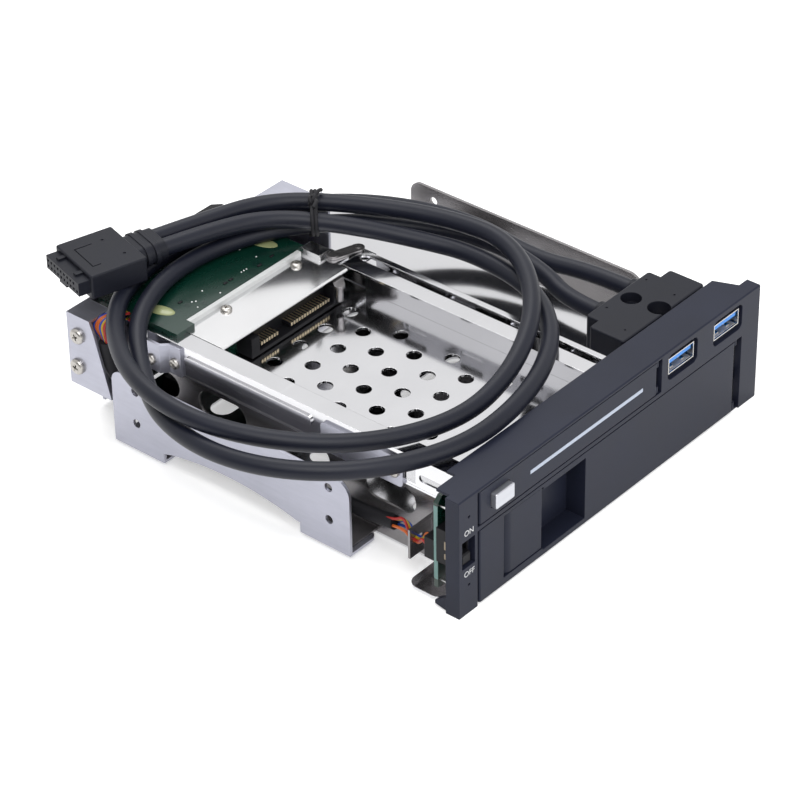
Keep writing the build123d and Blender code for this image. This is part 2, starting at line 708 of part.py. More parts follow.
# Rear cover: left side with a slanted front edge, rear wall with its socket windows, two top strips
socket_left = -13.0
socket_right = 4.5
socket_bottom = 31.0
data_socket_lows = ((-50.0, 34.0), (-6.0, 12.0))
data_socket_width = 10.0
data_socket_height = rail_top - 34.0
rear_inner = wall_rear - cover_wall
half_bay = bay_width / 2
with BuildPart() as rear_cover:
    with BuildSketch(side(-half_bay)):
        with BuildLine():
            Polyline((back(wall_rear), cover_top), (back(cover_side_front), cover_top),
                     (back(cover_side_front - 1.5), cover_top - 4.0),
                     (back(bracket_rear + 0.6), cover_side_bottom),
                     (back(wall_rear), cover_side_bottom), close=True)
        make_face()
    extrude(amount=cover_wall)
    with BuildSketch(upright(rear_inner)):
        with BuildLine():
            Polyline((-half_bay, cover_side_bottom), (-60.0, cover_side_bottom), (-60.0, 2.0),
                     (cage_right + 1, 2.0),
                     (cage_right + 1, plate_bottom), (cover_right_right, plate_bottom),
                     (cover_right_right, cover_top), (-half_bay, cover_top), close=True)
        make_face()
        panel((socket_left - slide_gap, socket_bottom - slide_gap), (socket_right + slide_gap, cover_top),
              mode=Mode.SUBTRACT)
        for low_x, low_z in data_socket_lows:
            panel((low_x - slide_gap, low_z - slide_gap),
                  (low_x + data_socket_width + slide_gap, low_z + data_socket_height + slide_gap),
                  mode=Mode.SUBTRACT)
        with Locations((-40.0, 15.0), (-25.0, 15.0), (16.0, 15.0), (30.0, 15.0)):
            SlotOverall(12.0, 4.0, rotation=90, mode=Mode.SUBTRACT)
    extrude(amount=-cover_wall)
    block((-half_bay, cover_side_front, cover_top - cover_wall), (cover_strip_right, wall_rear, cover_top))
    block((cover_right_left, cover_right_front, cover_top - cover_wall),
          (cover_right_right, wall_rear, cover_top))
    block((cover_right_right - cover_wall, cover_right_front, tray_floor_bottom),
          (cover_right_right, cage_rear, cover_top))
    block((cover_right_right - cover_wall, cage_rear, tray_floor_bottom),
          (cover_right_right, wall_rear, cover_top))
    # Bosses that the lower board stands on
    for boss_x in (-52.0, 28.0):
        for boss_z in (6.0, 24.0):
            with BuildSketch(upright(large_drive_rear + 0.5 + board_thick)):
                with Locations((boss_x, boss_z)):
                    Circle(2.0)
            extrude(amount=-(rear_inner - large_drive_rear - 0.5 - board_thick))
    with BuildSketch(side(-half_bay - 1)):
        with Locations((back(154.2), 34.7), (back(155.0), 23.0)):
            Circle(1.6)
    extrude(amount=cover_wall + 2, mode=Mode.SUBTRACT)
finish(rear_cover.part, "rear_cover")


def side_screw(face_x, distance, height, head_radius, head_thick, shank_radius, shank_length):
    """Add a pan-head screw whose head lies outside a face on the left side."""
    with BuildSketch(side(face_x)) as head:
        with Locations((back(distance), height)):
            Circle(head_radius)
    extrude(head.sketch, amount=-head_thick)
    with BuildSketch(side(face_x - head_thick / 2)) as shank:
        with Locations((back(distance), height)):
            Circle(shank_radius)
    extrude(shank.sketch, amount=shank_length + head_thick / 2)


with BuildPart() as rear_cover_screws:
    side_screw(-half_bay, 154.2, 34.7, 2.7, 1.5, 1.5, 3.0)
    side_screw(-half_bay, 155.0, 23.0, 2.7, 1.5, 1.5, 3.0)
finish(rear_cover_screws.part, "rear_cover_screws")

# Cover plate over the upper connector, with the ear of the upper ejector and the raised tab
ear_front = 112.5
ear_rear = upper_pivot_back + 4.0
tab_front = 118.5
tab_left = 0.5
tab_right = 5.8
tab_top = rail_top + 1.7
cover_screw_places = ((-39.3, 122.2), (-6.2, 122.4))
with BuildPart() as upper_cover_plate:
    with BuildSketch(level(rail_top - sheet)):
        panel((plate_left, back(plate_front)), (plate_right, back(plate_rear)))
        panel((plate_right - 1, back(ear_front)), (upper_pivot_x + 3.4, back(ear_rear)), round_by=0.4)
        with Locations((upper_pivot_x, back(upper_pivot_back))):
            Circle(lever_post_radius + pin_gap, mode=Mode.SUBTRACT)
        with Locations(*[(x, back(distance)) for x, distance in cover_screw_places]):
            Circle(1.4, mode=Mode.SUBTRACT)
    extrude(amount=sheet)
    chamfer(upper_cover_plate.edges().filter_by(Axis.X).group_by(Axis.Y)[0].sort_by(Axis.Z)[-1], 0.5)
    block((tab_left, tab_front, rail_top), (tab_left + sheet, plate_rear, tab_top))
    block((tab_left, tab_front, tab_top - sheet), (tab_right, plate_rear, tab_top))
finish(upper_cover_plate.part, "upper_cover_plate")

with BuildPart() as cover_standoffs:
    for stand_x, stand_back in cover_screw_places:
        post(stand_x, stand_back, tray_floor_top, rail_top - sheet, 2.5)
        post(stand_x, stand_back, tray_floor_top + 3, rail_top - sheet, 1.4, mode=Mode.SUBTRACT)
finish(cover_standoffs.part, "cover_standoffs")

with BuildPart() as cover_screws:
    for stand_x, stand_back in cover_screw_places:
        post(stand_x, stand_back, tray_floor_top + 4, rail_top + 0.5, 1.25)
        post(stand_x, stand_back, rail_top, rail_top + 1.1, 1.9)
    fillet(cover_screws.edges().group_by(Axis.Z)[-1], 0.5)
finish(cover_screws.part, "cover_screws")

with BuildPart() as insulator_strip:
    block((board_lug_right + 0.2, 124.9, rail_top), (-1.0, board_front - 0.1, rail_top + 1.5))
finish(insulator_strip.part, "insulator_strip")

# Circuit board of the upper bay with its front lug
with BuildPart() as upper_backplane:
    with BuildSketch(level(rail_top)):
        panel((board_left, back(board_front)), (board_right, back(board_rear)))
        panel((board_left, back(board_lug_front)), (board_lug_right, back(board_front + 1)))
    extrude(amount=board_thick)
finish(upper_backplane.part, "upper_backplane")

# Upper bay connector on its riser board: body with the two tongues that enter the drive
with BuildPart() as riser_board:
    block((-48.0, connector_rear, tray_floor_top),
          (connector_right, connector_rear + board_thick, rail_top - sheet))
finish(riser_board.part, "riser_board")


def drive_connector(left, right, front, rear, bottom, top, tongue_low, tongue_ends):
    """Build a drive socket in the open part: end towers, a low body and two tongues."""
    block((left, front, bottom), (right, rear, top))
    block((left + 3.6, front - 1, bottom + 1.2), (right - 3.6, front + 4.4, top + 1), mode=Mode.SUBTRACT)
    for tongue_left, tongue_right in tongue_ends:
        block((tongue_left, front + 0.8, tongue_low), (tongue_right, rear - 1, tongue_low + 1.2))


with BuildPart() as upper_sata_connector:
    drive_connector(connector_left, connector_right, connector_front, connector_rear, connector_bottom,
                    connector_top, 32.6, ((-39.2, -30.8), (-25.2, -6.5)))
finish(upper_sata_connector.part, "upper_sata_connector")

# Lower bay board and connector
lower_board_front = large_drive_rear + 0.5
with BuildPart() as lower_backplane:
    front_prism((lower_bay_left + 0.5, 2.0), (34.0, plate_bottom - 0.2), lower_board_front, board_thick,
                mode=Mode.ADD)
finish(lower_backplane.part, "lower_backplane")

with BuildPart() as lower_sata_connector:
    drive_connector(-36.3, 6.0, lower_board_front - 6.5, lower_board_front, 3.0, 10.0, 5.2,
                    ((-31.5, -23.1), (-17.5, 1.2)))
finish(lower_sata_connector.part, "lower_sata_connector")

# Sockets at the rear
with BuildPart() as rear_data_sockets:
    for (low_x, low_z), start in zip(data_socket_lows, (149.0, lower_board_front + board_thick)):
        front_prism((low_x, low_z), (low_x + data_socket_width, low_z + data_socket_height), start,
                    wall_rear + 1.5 - start, mode=Mode.ADD)
        front_prism((low_x + 1.0, low_z + 1.2), (low_x + data_socket_width - 1.0, low_z + 4.0),
                    wall_rear + 1.5 - 5.0 if start < 150 else wall_rear - 0.5, 6.0)
finish(rear_data_sockets.part, "rear_data_sockets")

with BuildPart() as rear_power_socket:
    front_prism((socket_left, socket_bottom), (socket_right, rail_top), 146.0, rear_inner - 0.5 - 146.0,
                mode=Mode.ADD)
    front_prism((socket_left, socket_bottom), (socket_right, cover_top), rear_inner - 0.5,
                wall_rear + power_socket_proud - rear_inner + 0.5, mode=Mode.ADD)
    chamfer(rear_power_socket.edges().filter_by(Axis.Z).group_by(Axis.Y)[-1].sort_by(Axis.X)[-1], 2.5)
    front_prism((socket_left + 1.6, socket_bottom + 1.6), (socket_right - 1.6, cover_top - 1.6),
                wall_rear + 1.5, power_socket_proud)
finish(rear_power_socket.part, "rear_power_socket")

# Stepped bracket that joins the tray's left wall to the rear
step_height_low = 29.2
step_height_high = 39.5
with BuildPart() as joggle_bracket:
    with BuildSketch(level(step_height_low)):
        with BuildLine():
            Polyline((tray_left, back(119.0)), (tray_left, back(124.0)), (tray_left - 2.2, back(126.2)),
                     (tray_left - 2.2, back(136.0)), (tray_left - 3.2, back(136.0)),
                     (tray_left - 3.2, back(125.8)), (tray_left - 1.0, back(123.6)),
                     (tray_left - 1.0, back(119.0)), close=True)
        make_face()
    extrude(amount=step_height_high - step_height_low)
    with BuildSketch(side(tray_left - 5)):
        with Locations((back(121.5), 33.5), (back(129.5), 33.0)):
            Circle(0.9)
    extrude(amount=6.0, mode=Mode.SUBTRACT)
finish(joggle_bracket.part, "joggle_bracket")

with BuildPart() as joggle_screws:
    side_screw(tray_left - 1.0, 121.5, 33.5, 1.9, 1.1, 0.8, 1.0 + sheet)
    side_screw(tray_left - 3.2, 129.5, 33.0, 1.9, 1.1, 0.8, 2.2)
finish(joggle_screws.part, "joggle_screws")

with BuildPart() as link_plate:
    side_prism(tray_left - 0.5, 1.0, (30.0, 28.0), (62.0, 38.0), round_by=1.5, mode=Mode.ADD)
    with BuildSketch(side(tray_left - 2)):
        with Locations((back(33.1), 32.8)):
            Circle(0.9)
    extrude(amount=3.0, mode=Mode.SUBTRACT)
finish(link_plate.part, "link_plate")

with BuildPart() as link_plate_screw:
    side_screw(tray_left - 1.0, 33.1, 32.8, 1.9, 1.1, 0.8, 1.0 + sheet)
finish(link_plate_screw.part, "link_plate_screw")

# USB shells and their tongues
shell_front = 0.6
tongue_front = shell_front + 0.6
with BuildPart() as usb_shells:
    for port_x in usb_port_x:
        half = usb_shell_width / 2
        low_z = usb_port_z - usb_shell_height / 2
        front_prism((port_x - half, low_z), (port_x + half, low_z + usb_shell_height), shell_front,
                    usb_block_front - shell_front, mode=Mode.ADD)
        front_prism((port_x - half + usb_shell_wall, low_z + usb_shell_wall),
                    (port_x + half - usb_shell_wall, low_z + usb_shell_height - usb_shell_wall), shell_front,
                    usb_block_front - shell_front - 0.4)
finish(usb_shells.part, "usb_shells")

with BuildPart() as usb_tongues:
    for port_x in usb_port_x:
        front_prism((port_x - usb_tongue_width / 2, usb_port_z + 0.5),
                    (port_x + usb_tongue_width / 2, usb_port_z + 0.5 + usb_tongue_height), tongue_front,
                    usb_block_front - 0.4 - tongue_front, mode=Mode.ADD)
finish(usb_tongues.part, "usb_tongues")

# Moulded USB housing with its screw well, a second round well and four dimples
collar_rear = usb_block_rear + 3.0
with BuildPart() as usb_block:
    block((usb_block_left, usb_block_front, tray_floor_bottom),
          (usb_block_right, usb_block_step, bezel_height),
          round_by=1.2)
    block((usb_tail_left, usb_block_step - 4, tray_floor_bottom),
          (usb_tail_right, usb_block_rear, bezel_height),
          round_by=1.2)
    fillet(usb_block.edges().group_by(Axis.Z)[-1], 0.6)
    post(usb_screw_x, usb_screw_back, bezel_height - 7.0, bezel_height + 1, 3.75, mode=Mode.SUBTRACT)
    post(usb_screw_x, usb_screw_back, tray_floor_bottom - 1, bezel_height, 1.6, mode=Mode.SUBTRACT)
    post(43.0, 26.8, bezel_height - 3.5, bezel_height + 1, 3.4, mode=Mode.SUBTRACT)
    for dimple_x, dimple_back in ((27.5, 17.5), (34.0, 29.5), (53.0, 17.5), (54.5, 29.5)):
        post(dimple_x, dimple_back, bezel_height - 0.4, bezel_height + 1, 0.4, mode=Mode.SUBTRACT)
    for exit_x in cable_exit_x:
        with BuildSketch(upright(usb_block_rear - 0.5)):
            with Locations((exit_x, cable_exit_z)):
                Circle(cable_radius + 0.8)
        extrude(amount=-(collar_rear - usb_block_rear + 0.5))
finish(usb_block.part, "usb_block")

with BuildPart() as block_screw:
    post(usb_screw_x, usb_screw_back, tray_floor_bottom, bezel_height - 6.5, 1.4)
    post(usb_screw_x, usb_screw_back, bezel_height - 7.0, bezel_height - 5.0, 2.7)
    fillet(block_screw.edges().group_by(Axis.Z)[-1], 0.6)
finish(block_screw.part, "block_screw")


def eject_bar(left, hinge_x, hinge_back, foot_low, foot_high, bar_low, bar_high, bar_rear):
    """Build an eject bar in the open part: a foot behind the door's tail lug and a long upright strip."""
    foot_front = hinge_back + tail_front + tail_thick + foot_gap
    block((left, foot_front, foot_low), (hinge_x + foot_reach, foot_front + bar_thick, foot_high))
    block((left, foot_front, bar_low), (left + bar_thick, bar_rear, bar_high))


def pin_slot(pin_x, pin_back, low, high):
    """Cut the slot in a bar's tab in which the lever's pin slides as the lever turns."""
    reach = lever_pin_radius + lever_pin_gap
    with BuildSketch(level(low)) as slot:
        with Locations((pin_x + 0.25, back(pin_back))):
            SlotOverall(2 * reach + 1.1, 2 * reach)
    extrude(slot.sketch, amount=high - low, mode=Mode.SUBTRACT)


def link(start, end, low, high, width):
    """Add a flat round-ended link between two places given as (x, distance behind the face)."""
    run_x = end[0] - start[0]
    run_y = end[1] - start[1]
    with BuildSketch(level(low)) as outline:
        with Locations(((start[0] + end[0]) / 2, back((start[1] + end[1]) / 2))):
            SlotCenterToCenter((run_x ** 2 + run_y ** 2) ** 0.5, width, rotation=degrees(atan2(run_y, run_x)))
    extrude(outline.sketch, amount=high - low)


# Upper ejector: bar in the channel, lever over and under the cover plate
upper_pin = (upper_pivot_x + lever_arm_x, upper_pivot_back - lever_arm_back)
upper_tip = (-4.5, 105.8)
upper_tab_low = rail_top - 2.1
with BuildPart() as upper_eject_bar:
    eject_bar(upper_bar_left, upper_hinge_x, upper_hinge_back, 33.5, 36.0, tray_floor_top + slide_gap,
              upper_tab_low + 0.3, upper_pin[1] + 4.4)
    block((upper_bar_left, upper_pin[1] - 5.0, upper_tab_low), (upper_pin[0] + 2.9, upper_pin[1] + 4.4,
                                                               upper_tab_low + sheet))
    pin_slot(upper_pin[0], upper_pin[1], upper_tab_low - 1, upper_tab_low + 2)
    for window_back in (20.0, 44.0, 68.0, 92.0):
        side_prism(upper_bar_left, 4.0, (window_back, 32.5), (window_back + 12.0, 36.0), round_by=1.5)
finish(upper_eject_bar.part, "upper_eject_bar")

upper_arm_low = rail_top + seat_gap
upper_tip_high = connector_top + 1.4
with BuildPart() as upper_eject_lever:
    link((upper_pivot_x, upper_pivot_back), upper_pin, upper_arm_low, upper_arm_low + 0.6, 4.2)
    link((upper_pivot_x, upper_pivot_back), upper_tip, upper_tip_high - 0.9, upper_tip_high, 3.6)
    post(upper_pivot_x, upper_pivot_back, upper_tip_high - 0.9, upper_arm_low + 1.0, lever_post_radius)
    post(upper_pivot_x, upper_pivot_back, upper_arm_low + 0.6, upper_arm_low + 1.0, lever_post_radius + 0.35)
    post(upper_pin[0], upper_pin[1], upper_tab_low - 0.4, upper_arm_low + 0.9, lever_pin_radius)
    post(upper_tip[0], upper_tip[1], 33.0, upper_tip_high, 1.2)
finish(upper_eject_lever.part, "upper_eject_lever")

# Lower ejector: bar on its shelves, lever on a pivot beside the cage
lower_pin = (lower_pivot_x + lever_arm_x, lower_pivot_back - lever_arm_back)
lower_tip = (39.5, 155.6)
lever_low = 12.0
lever_thick = 1.2
lower_tab_low = lever_low + lever_thick + 0.3
with BuildPart() as lower_eject_bar:
    eject_bar(lower_bar_left, lower_hinge_x, lower_hinge_back, 10.0, 13.0, 7.0 + sheet + 0.2, 16.0,
              lower_pin[1] - 2.8)
    block((lower_bar_left - 2.4, lower_pin[1] - 5.0, lower_tab_low),
          (lower_pin[0] + 3.2, lower_pin[1] + 4.4, lower_tab_low + sheet))
    pin_slot(lower_pin[0], lower_pin[1], lower_tab_low - 1, lower_tab_low + 2)
    for window_back in (16.0, 56.0, 80.0):
        side_prism(lower_bar_left, 4.0, (window_back, 10.5), (window_back + 14.0, 13.5), round_by=1.4)
finish(lower_eject_bar.part, "lower_eject_bar")

with BuildPart() as lower_eject_lever:
    link((lower_pivot_x, lower_pivot_back), lower_pin, lever_low, lever_low + lever_thick, 4.2)
    link((lower_pivot_x, lower_pivot_back), lower_tip, lever_low, lever_low + lever_thick, 3.6)
    post(lower_pivot_x, lower_pivot_back, lever_low, lever_low + lever_thick, 3.0)
    post(lower_pin[0], lower_pin[1], lever_low, lower_tab_low + sheet + 0.6, lever_pin_radius)
    post(lower_tip[0], lower_tip[1], lever_low - 3.0, lever_low + 5.0, 1.0)
    post(lower_pivot_x, lower_pivot_back, lever_low - 1, lever_low + lever_thick + 1,
         lever_post_radius + pin_gap, mode=Mode.SUBTRACT)
finish(lower_eject_lever.part, "lower_eject_lever")

with BuildPart() as lower_eject_pivot:
    post(lower_pivot_x, lower_pivot_back, base_top, lever_low - seat_gap, 2.6)
    post(lower_pivot_x, lower_pivot_back, base_top, lever_low + lever_thick + 1.0, lever_post_radius)
    post(lower_pivot_x, lower_pivot_back, lever_low + lever_thick + seat_gap,
         lever_low + lever_thick + 1.0, 2.6)
finish(lower_eject_pivot.part, "lower_eject_pivot")


def corner_radii(points):
    """List for each inner corner the largest arc that leaves a tenth of its shorter run straight."""
    radii = []
    for before, corner, after in zip(points, points[1:], points[2:]):
        run_in = Vector(*corner) - Vector(*before)
        run_out = Vector(*after) - Vector(*corner)
        half_turn = radians(run_in.get_angle(run_out)) / 2
        radii.append(0.45 * min(run_in.length, run_out.length) / tan(half_turn))
    return radii


def cord(route, radius):
    """Add a round cord in the open part along corners given as (x, distance behind the face, z)."""
    points = [(x, back(distance), z) for x, distance, z in route]
    with BuildLine() as path:
        FilletPolyline(*points, radius=corner_radii(points))
    with BuildSketch(Plane(origin=path.line @ 0, z_dir=path.line % 0)) as section:
        Circle(radius)
    sweep(section.sketch, path=path.line)
    return sum(edge.length for edge in path.edges())


def report_cord(name, part, route, length):
    """Print the tightest bend of a cord and how well its volume fits its length."""
    tightest = min(corner_radii(route))
    fit = part.volume / (pi * cable_radius ** 2 * length)
    print(f"{name}: length {length:.0f} mm, tightest bend {tightest:.1f} mm, "
          f"volume over section x length {fit:.4f}")


# Cables: from the header plug once round the coil and down to the USB housing
route_a = (
    (-36.89, 155.32, cable_leave_z), (-20.09, 150.42, cable_leave_z), (4, 143, 51.6), (19.5, 122, 51.4),
    (33, 93, 50.9), (35, 67, 50.6), (14, 41, 49.6), (-15, 27, 45.5), (-46, 24, 44), (-77.5, 42, 44.5),
    (-97, 75, 46.8), (-96.5, 107.5, 49), (-72, 141, 45.3), (-46, 154, 45.2), (-14, 152.5, 45.2),
    (13, 142.5, 46.3), (34, 122, 45), (50.5, 97, 39.5), (49.5, 70.5, 36), (54.5, 50.5, cable_exit_z),
    (54.5, collar_rear, cable_exit_z),
)
route_b = (
    (-38.71, 149.08, cable_leave_z), (-23.35, 144.6, cable_leave_z), (-3, 136.2, 51.3), (11, 116.5, 49.5),
    (23.5, 98, 45.4), (31, 78, 43.6), (25.5, 49, 43.6), (6, 28, 43.6), (-24, 16, 44), (-56, 15, 44),
    (-85.5, 33, 43.6), (-101, 62, 42.8), (-98, 94, 41), (-81.5, 119, 41), (-66, 135.5, 45.6),
    (-39, 146, 45.2), (-11, 142.5, 45.2), (12.5, 128.5, 45.2), (31, 107, 43.6), (43, 82, 41.5),
    (42, 60, 38.5), (37.5, 48, cable_exit_z), (37.5, collar_rear, cable_exit_z),
)
with BuildPart() as usb_cable_a:
    length_a = cord(route_a, cable_radius)
finish(usb_cable_a.part, "usb_cable_a")
report_cord("usb_cable_a", usb_cable_a.part, route_a, length_a)

with BuildPart() as usb_cable_b:
    length_b = cord(route_b, cable_radius)
finish(usb_cable_b.part, "usb_cable_b")
report_cord("usb_cable_b", usb_cable_b.part, route_b, length_b)


def header_level(height):
    """Horizontal plane above the plug's underside: local X runs towards the cables, local Y across."""
    return Plane(origin=(header_rear[0], back(header_rear[1]), header_bottom + height),
                 x_dir=header_direction, z_dir=(0, 0, 1))


def header_block(low, high, round_by=0.0, mode=Mode.ADD):
    """Add or cut a block in the plug's own directions, with heights above its underside."""
    with BuildSketch(header_level(low[2])) as outline:
        panel(low[:2], high[:2], round_by)
    extrude(outline.sketch, amount=high[2] - low[2], mode=mode)


def header_oval(start, length, width, height):
    """Add an oval length of strain relief that starts a distance behind the plug's body."""
    centre = header_level(cable_leave_z - header_bottom)
    plane = Plane(origin=centre.origin + centre.x_dir * start, x_dir=centre.y_dir, z_dir=centre.x_dir)
    with BuildSketch(plane) as outline:
        SlotOverall(width, height)
    extrude(outline.sketch, amount=length)


# Header plug: body, nose with two rows of pin holes, lugs, key and ribbed strain relief
pin_columns = 10
pin_pitch = 2.0
pin_rows = (3.2, 5.2)
nose_front = -header_length - header_nose
with BuildPart() as header_connector:
    header_block((-header_length, -header_width / 2, 0), (0, header_width / 2, header_height), round_by=0.8)
    fillet(header_connector.edges().group_by(Axis.Z)[-1], 0.6)
    header_block((nose_front, -10.2, 1.9), (-header_length, 10.2, 6.6))
    # Key lump below and two locking lugs on top
    header_block((nose_front, -2.2, 1.0), (-header_length, 2.2, 1.9))
    for lug_y in (-6.2, 4.6):
        header_block((nose_front + 1.4, lug_y, 6.6), (-header_length, lug_y + 1.6, 7.3))
    # Thin angled groove and two dimples on the top
    for groove_low, groove_high in (((-16.7, -6.5), (-16.3, 5.6)), ((-16.7, 5.2), (-10.4, 5.6)),
                                    ((-16.7, -6.5), (-13.6, -6.1))):
        header_block((*groove_low, header_height - 0.3), (*groove_high, header_height), mode=Mode.SUBTRACT)
    with BuildSketch(header_level(header_height)) as dimples:
        with Locations((-4.5, -5.0), (-6.5, 5.6)):
            Circle(0.5)
    extrude(dimples.sketch, amount=-0.3, mode=Mode.SUBTRACT)
    # Pin holes, with the keyed one left closed
    for row_z in pin_rows:
        for column in range(pin_columns):
            pin_y = (column - (pin_columns - 1) / 2) * pin_pitch
            if row_z == pin_rows[0] or column > 0:
                header_block((nose_front, pin_y - 0.45, row_z - 0.45),
                             (nose_front + 3.0, pin_y + 0.45, row_z + 0.45), mode=Mode.SUBTRACT)
    header_oval(0, relief_length, relief_width, relief_height)
    for rib_start in (2.4, 5.6):
        header_oval(rib_start, 1.5, relief_width + 1.4, relief_height + 0.6)
finish(header_connector.part, "header_connector")

# Tie: a band that squeezes the four strands, with a knot and a short tail
tie_plane = Plane(origin=(12.5, back(131.5), 48.0), x_dir=(0.75, 0.66, 0), z_dir=(0.66, -0.75, 0))
strand_places = ((0.0, 3.5), (8.03, -2.09), (-9.97, 2.27), (-3.37, -2.9))
squeeze = 0.1
with BuildPart() as cable_tie:
    with BuildSketch(tie_plane) as outer_loop:
        with Locations(*strand_places):
            Circle(cable_radius - squeeze + tie_thick)
        make_hull()
    with BuildSketch(tie_plane) as inner_loop:
        with Locations(*strand_places):
            Circle(cable_radius - squeeze)
        make_hull()
    extrude(outer_loop.sketch, amount=tie_width / 2, both=True)
    extrude(inner_loop.sketch, amount=tie_width, both=True, mode=Mode.SUBTRACT)
    with BuildSketch(tie_plane) as knot:
        with Locations((-5.4, 7.1)):
            Circle(1.8)
        with Locations((-8.2, 8.2)):
            SlotOverall(5.0, tie_thick, rotation=-20)
    extrude(knot.sketch, amount=tie_width / 2, both=True)
finish(cable_tie.part, "cable_tie")

# Sleeve of the wires that run forward between the left bracket and the cage
sleeve_top = 34.5
sleeve_rear_x = 3.7 - bay_width / 2
sleeve_route = (
    (wire_hole_x, 36.0, 12.9), (wire_hole_x, 52.0, 12.9), (wire_hole_x - 1.5, 80.0, 11.2),
    (wire_hole_x - 1.8, 112.0, 12.0), (sleeve_rear_x + 0.8, 134.0, 17.0), (sleeve_rear_x, 145.5, 25.0),
    (sleeve_rear_x, 145.5, sleeve_top),
)
with BuildPart() as harness_sleeve:
    cord(sleeve_route, sleeve_radius)
finish(harness_sleeve.part, "harness_sleeve")

# Wires at both ends of the sleeve: over to the circuit board, and through the notch to the front board
wire_end_z = rail_top + board_thick / 2
wire_plug_z = 17.25
with BuildPart() as harness_wires:
    for offset in wire_offsets:
        cord(((sleeve_rear_x, 145.5 + offset, sleeve_top), (sleeve_rear_x, 145.5 + offset, wire_end_z),
              (board_left, 145.5 + offset, wire_end_z)), wire_radius)
        cord(((wire_hole_x + offset, 36.0, 12.9), (wire_hole_x + offset, 23.0, 12.9),
              (connector_x + offset, 17.0, wire_plug_z),
              (connector_x + offset, board_front_back + board_thick + 1.2, wire_plug_z)), wire_radius)
finish(harness_wires.part, "harness_wires")
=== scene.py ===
"""Looks of the half-height hot swap drive cage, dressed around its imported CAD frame."""

import logging
from dataclasses import dataclass, field
from enum import Enum
from math import atan2, cos, pi, radians, sin
from typing import ClassVar, Dict, Iterable, List, Sequence, Tuple, Union

import bmesh
import bpy
from mathutils import Matrix, Vector


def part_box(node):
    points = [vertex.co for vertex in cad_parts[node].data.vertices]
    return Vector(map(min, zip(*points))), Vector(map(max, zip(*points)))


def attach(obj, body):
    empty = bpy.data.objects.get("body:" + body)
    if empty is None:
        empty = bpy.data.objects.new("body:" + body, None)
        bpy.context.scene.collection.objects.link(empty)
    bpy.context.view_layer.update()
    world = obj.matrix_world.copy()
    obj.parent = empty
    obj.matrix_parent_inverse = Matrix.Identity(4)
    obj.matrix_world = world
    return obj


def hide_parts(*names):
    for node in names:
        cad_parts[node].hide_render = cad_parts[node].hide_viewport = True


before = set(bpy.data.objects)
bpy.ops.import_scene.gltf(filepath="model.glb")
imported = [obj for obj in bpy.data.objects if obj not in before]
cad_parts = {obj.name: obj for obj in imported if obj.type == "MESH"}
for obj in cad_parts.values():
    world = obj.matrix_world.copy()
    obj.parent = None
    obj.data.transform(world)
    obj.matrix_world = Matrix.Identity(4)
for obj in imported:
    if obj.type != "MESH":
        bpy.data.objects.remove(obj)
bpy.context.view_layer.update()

log = logging.getLogger("drive_cage")
Colour = Tuple[float, float, float]
Point = Tuple[float, float, float]
Box = Tuple[Point, Point]

# One millimetre in Blender's metres.
MM = 0.001
# The bezel's face in the row frame, in millimetres.
FACE_Y = -82.25
# Faces that meet at less than this are shaded as one.
SMOOTH_BELOW = radians(35)
# How strongly each finer layer of noise counts against the one before.
OCTAVE_SHARE = 0.55
UP = (0, 0, 1)
LEFT = (-1, 0, 0)


def place(x: float, behind: float, z: float) -> Vector:
    """Give the row frame's place of a point.

    Args:
        x: Millimetres to the right of the middle.
        behind: Millimetres behind the bezel's face.
        z: Millimetres above the underside.

    Returns:
        The place in metres.
    """
    return Vector((x * MM, (behind + FACE_Y) * MM, z * MM))


def shade(colour: Colour, share: float) -> Colour:
    """Give a share of a colour's light, held to white."""
    return tuple(min(1.0, share * level) for level in colour)


def put(name: str, data: bpy.types.ID) -> bpy.types.Object:
    """Make an object of a mesh, curve, lamp or camera and put it in the scene."""
    made = bpy.data.objects.new(name, data)
    bpy.context.collection.objects.link(made)
    return made


def mesh_of(name: str, shape: bmesh.types.BMesh) -> bpy.types.Mesh:
    """Turn a shape into a mesh, freeing the shape."""
    mesh = bpy.data.meshes.new(name)
    shape.to_mesh(mesh)
    shape.free()
    return mesh


class Wire:
    """One output socket of a material, on which arithmetic adds Math nodes."""

    def __init__(self, graph: "Graph", socket: bpy.types.NodeSocket) -> None:
        """Wrap a socket of a graph."""
        self.graph = graph
        self.socket = socket

    def _math(self, operation: str, first: "Value", second: "Value") -> "Wire":
        """Add a Math node on two values."""
        return self.graph.node("ShaderNodeMath", {"operation": operation}, {0: first, 1: second})

    def __add__(self, other: "Value") -> "Wire":
        """Add."""
        return self._math("ADD", self, other)

    __radd__ = __add__

    def __mul__(self, other: "Value") -> "Wire":
        """Multiply."""
        return self._math("MULTIPLY", self, other)

    __rmul__ = __mul__

    def spread(self, low: float, high: float) -> "Wire":
        """Map low to 0 and high to 1, held to that range."""
        return self.graph.node("ShaderNodeMapRange", {"clamp": True}, {0: self, 1: low, 2: high})


Value = Union[Wire, float, Sequence[float]]


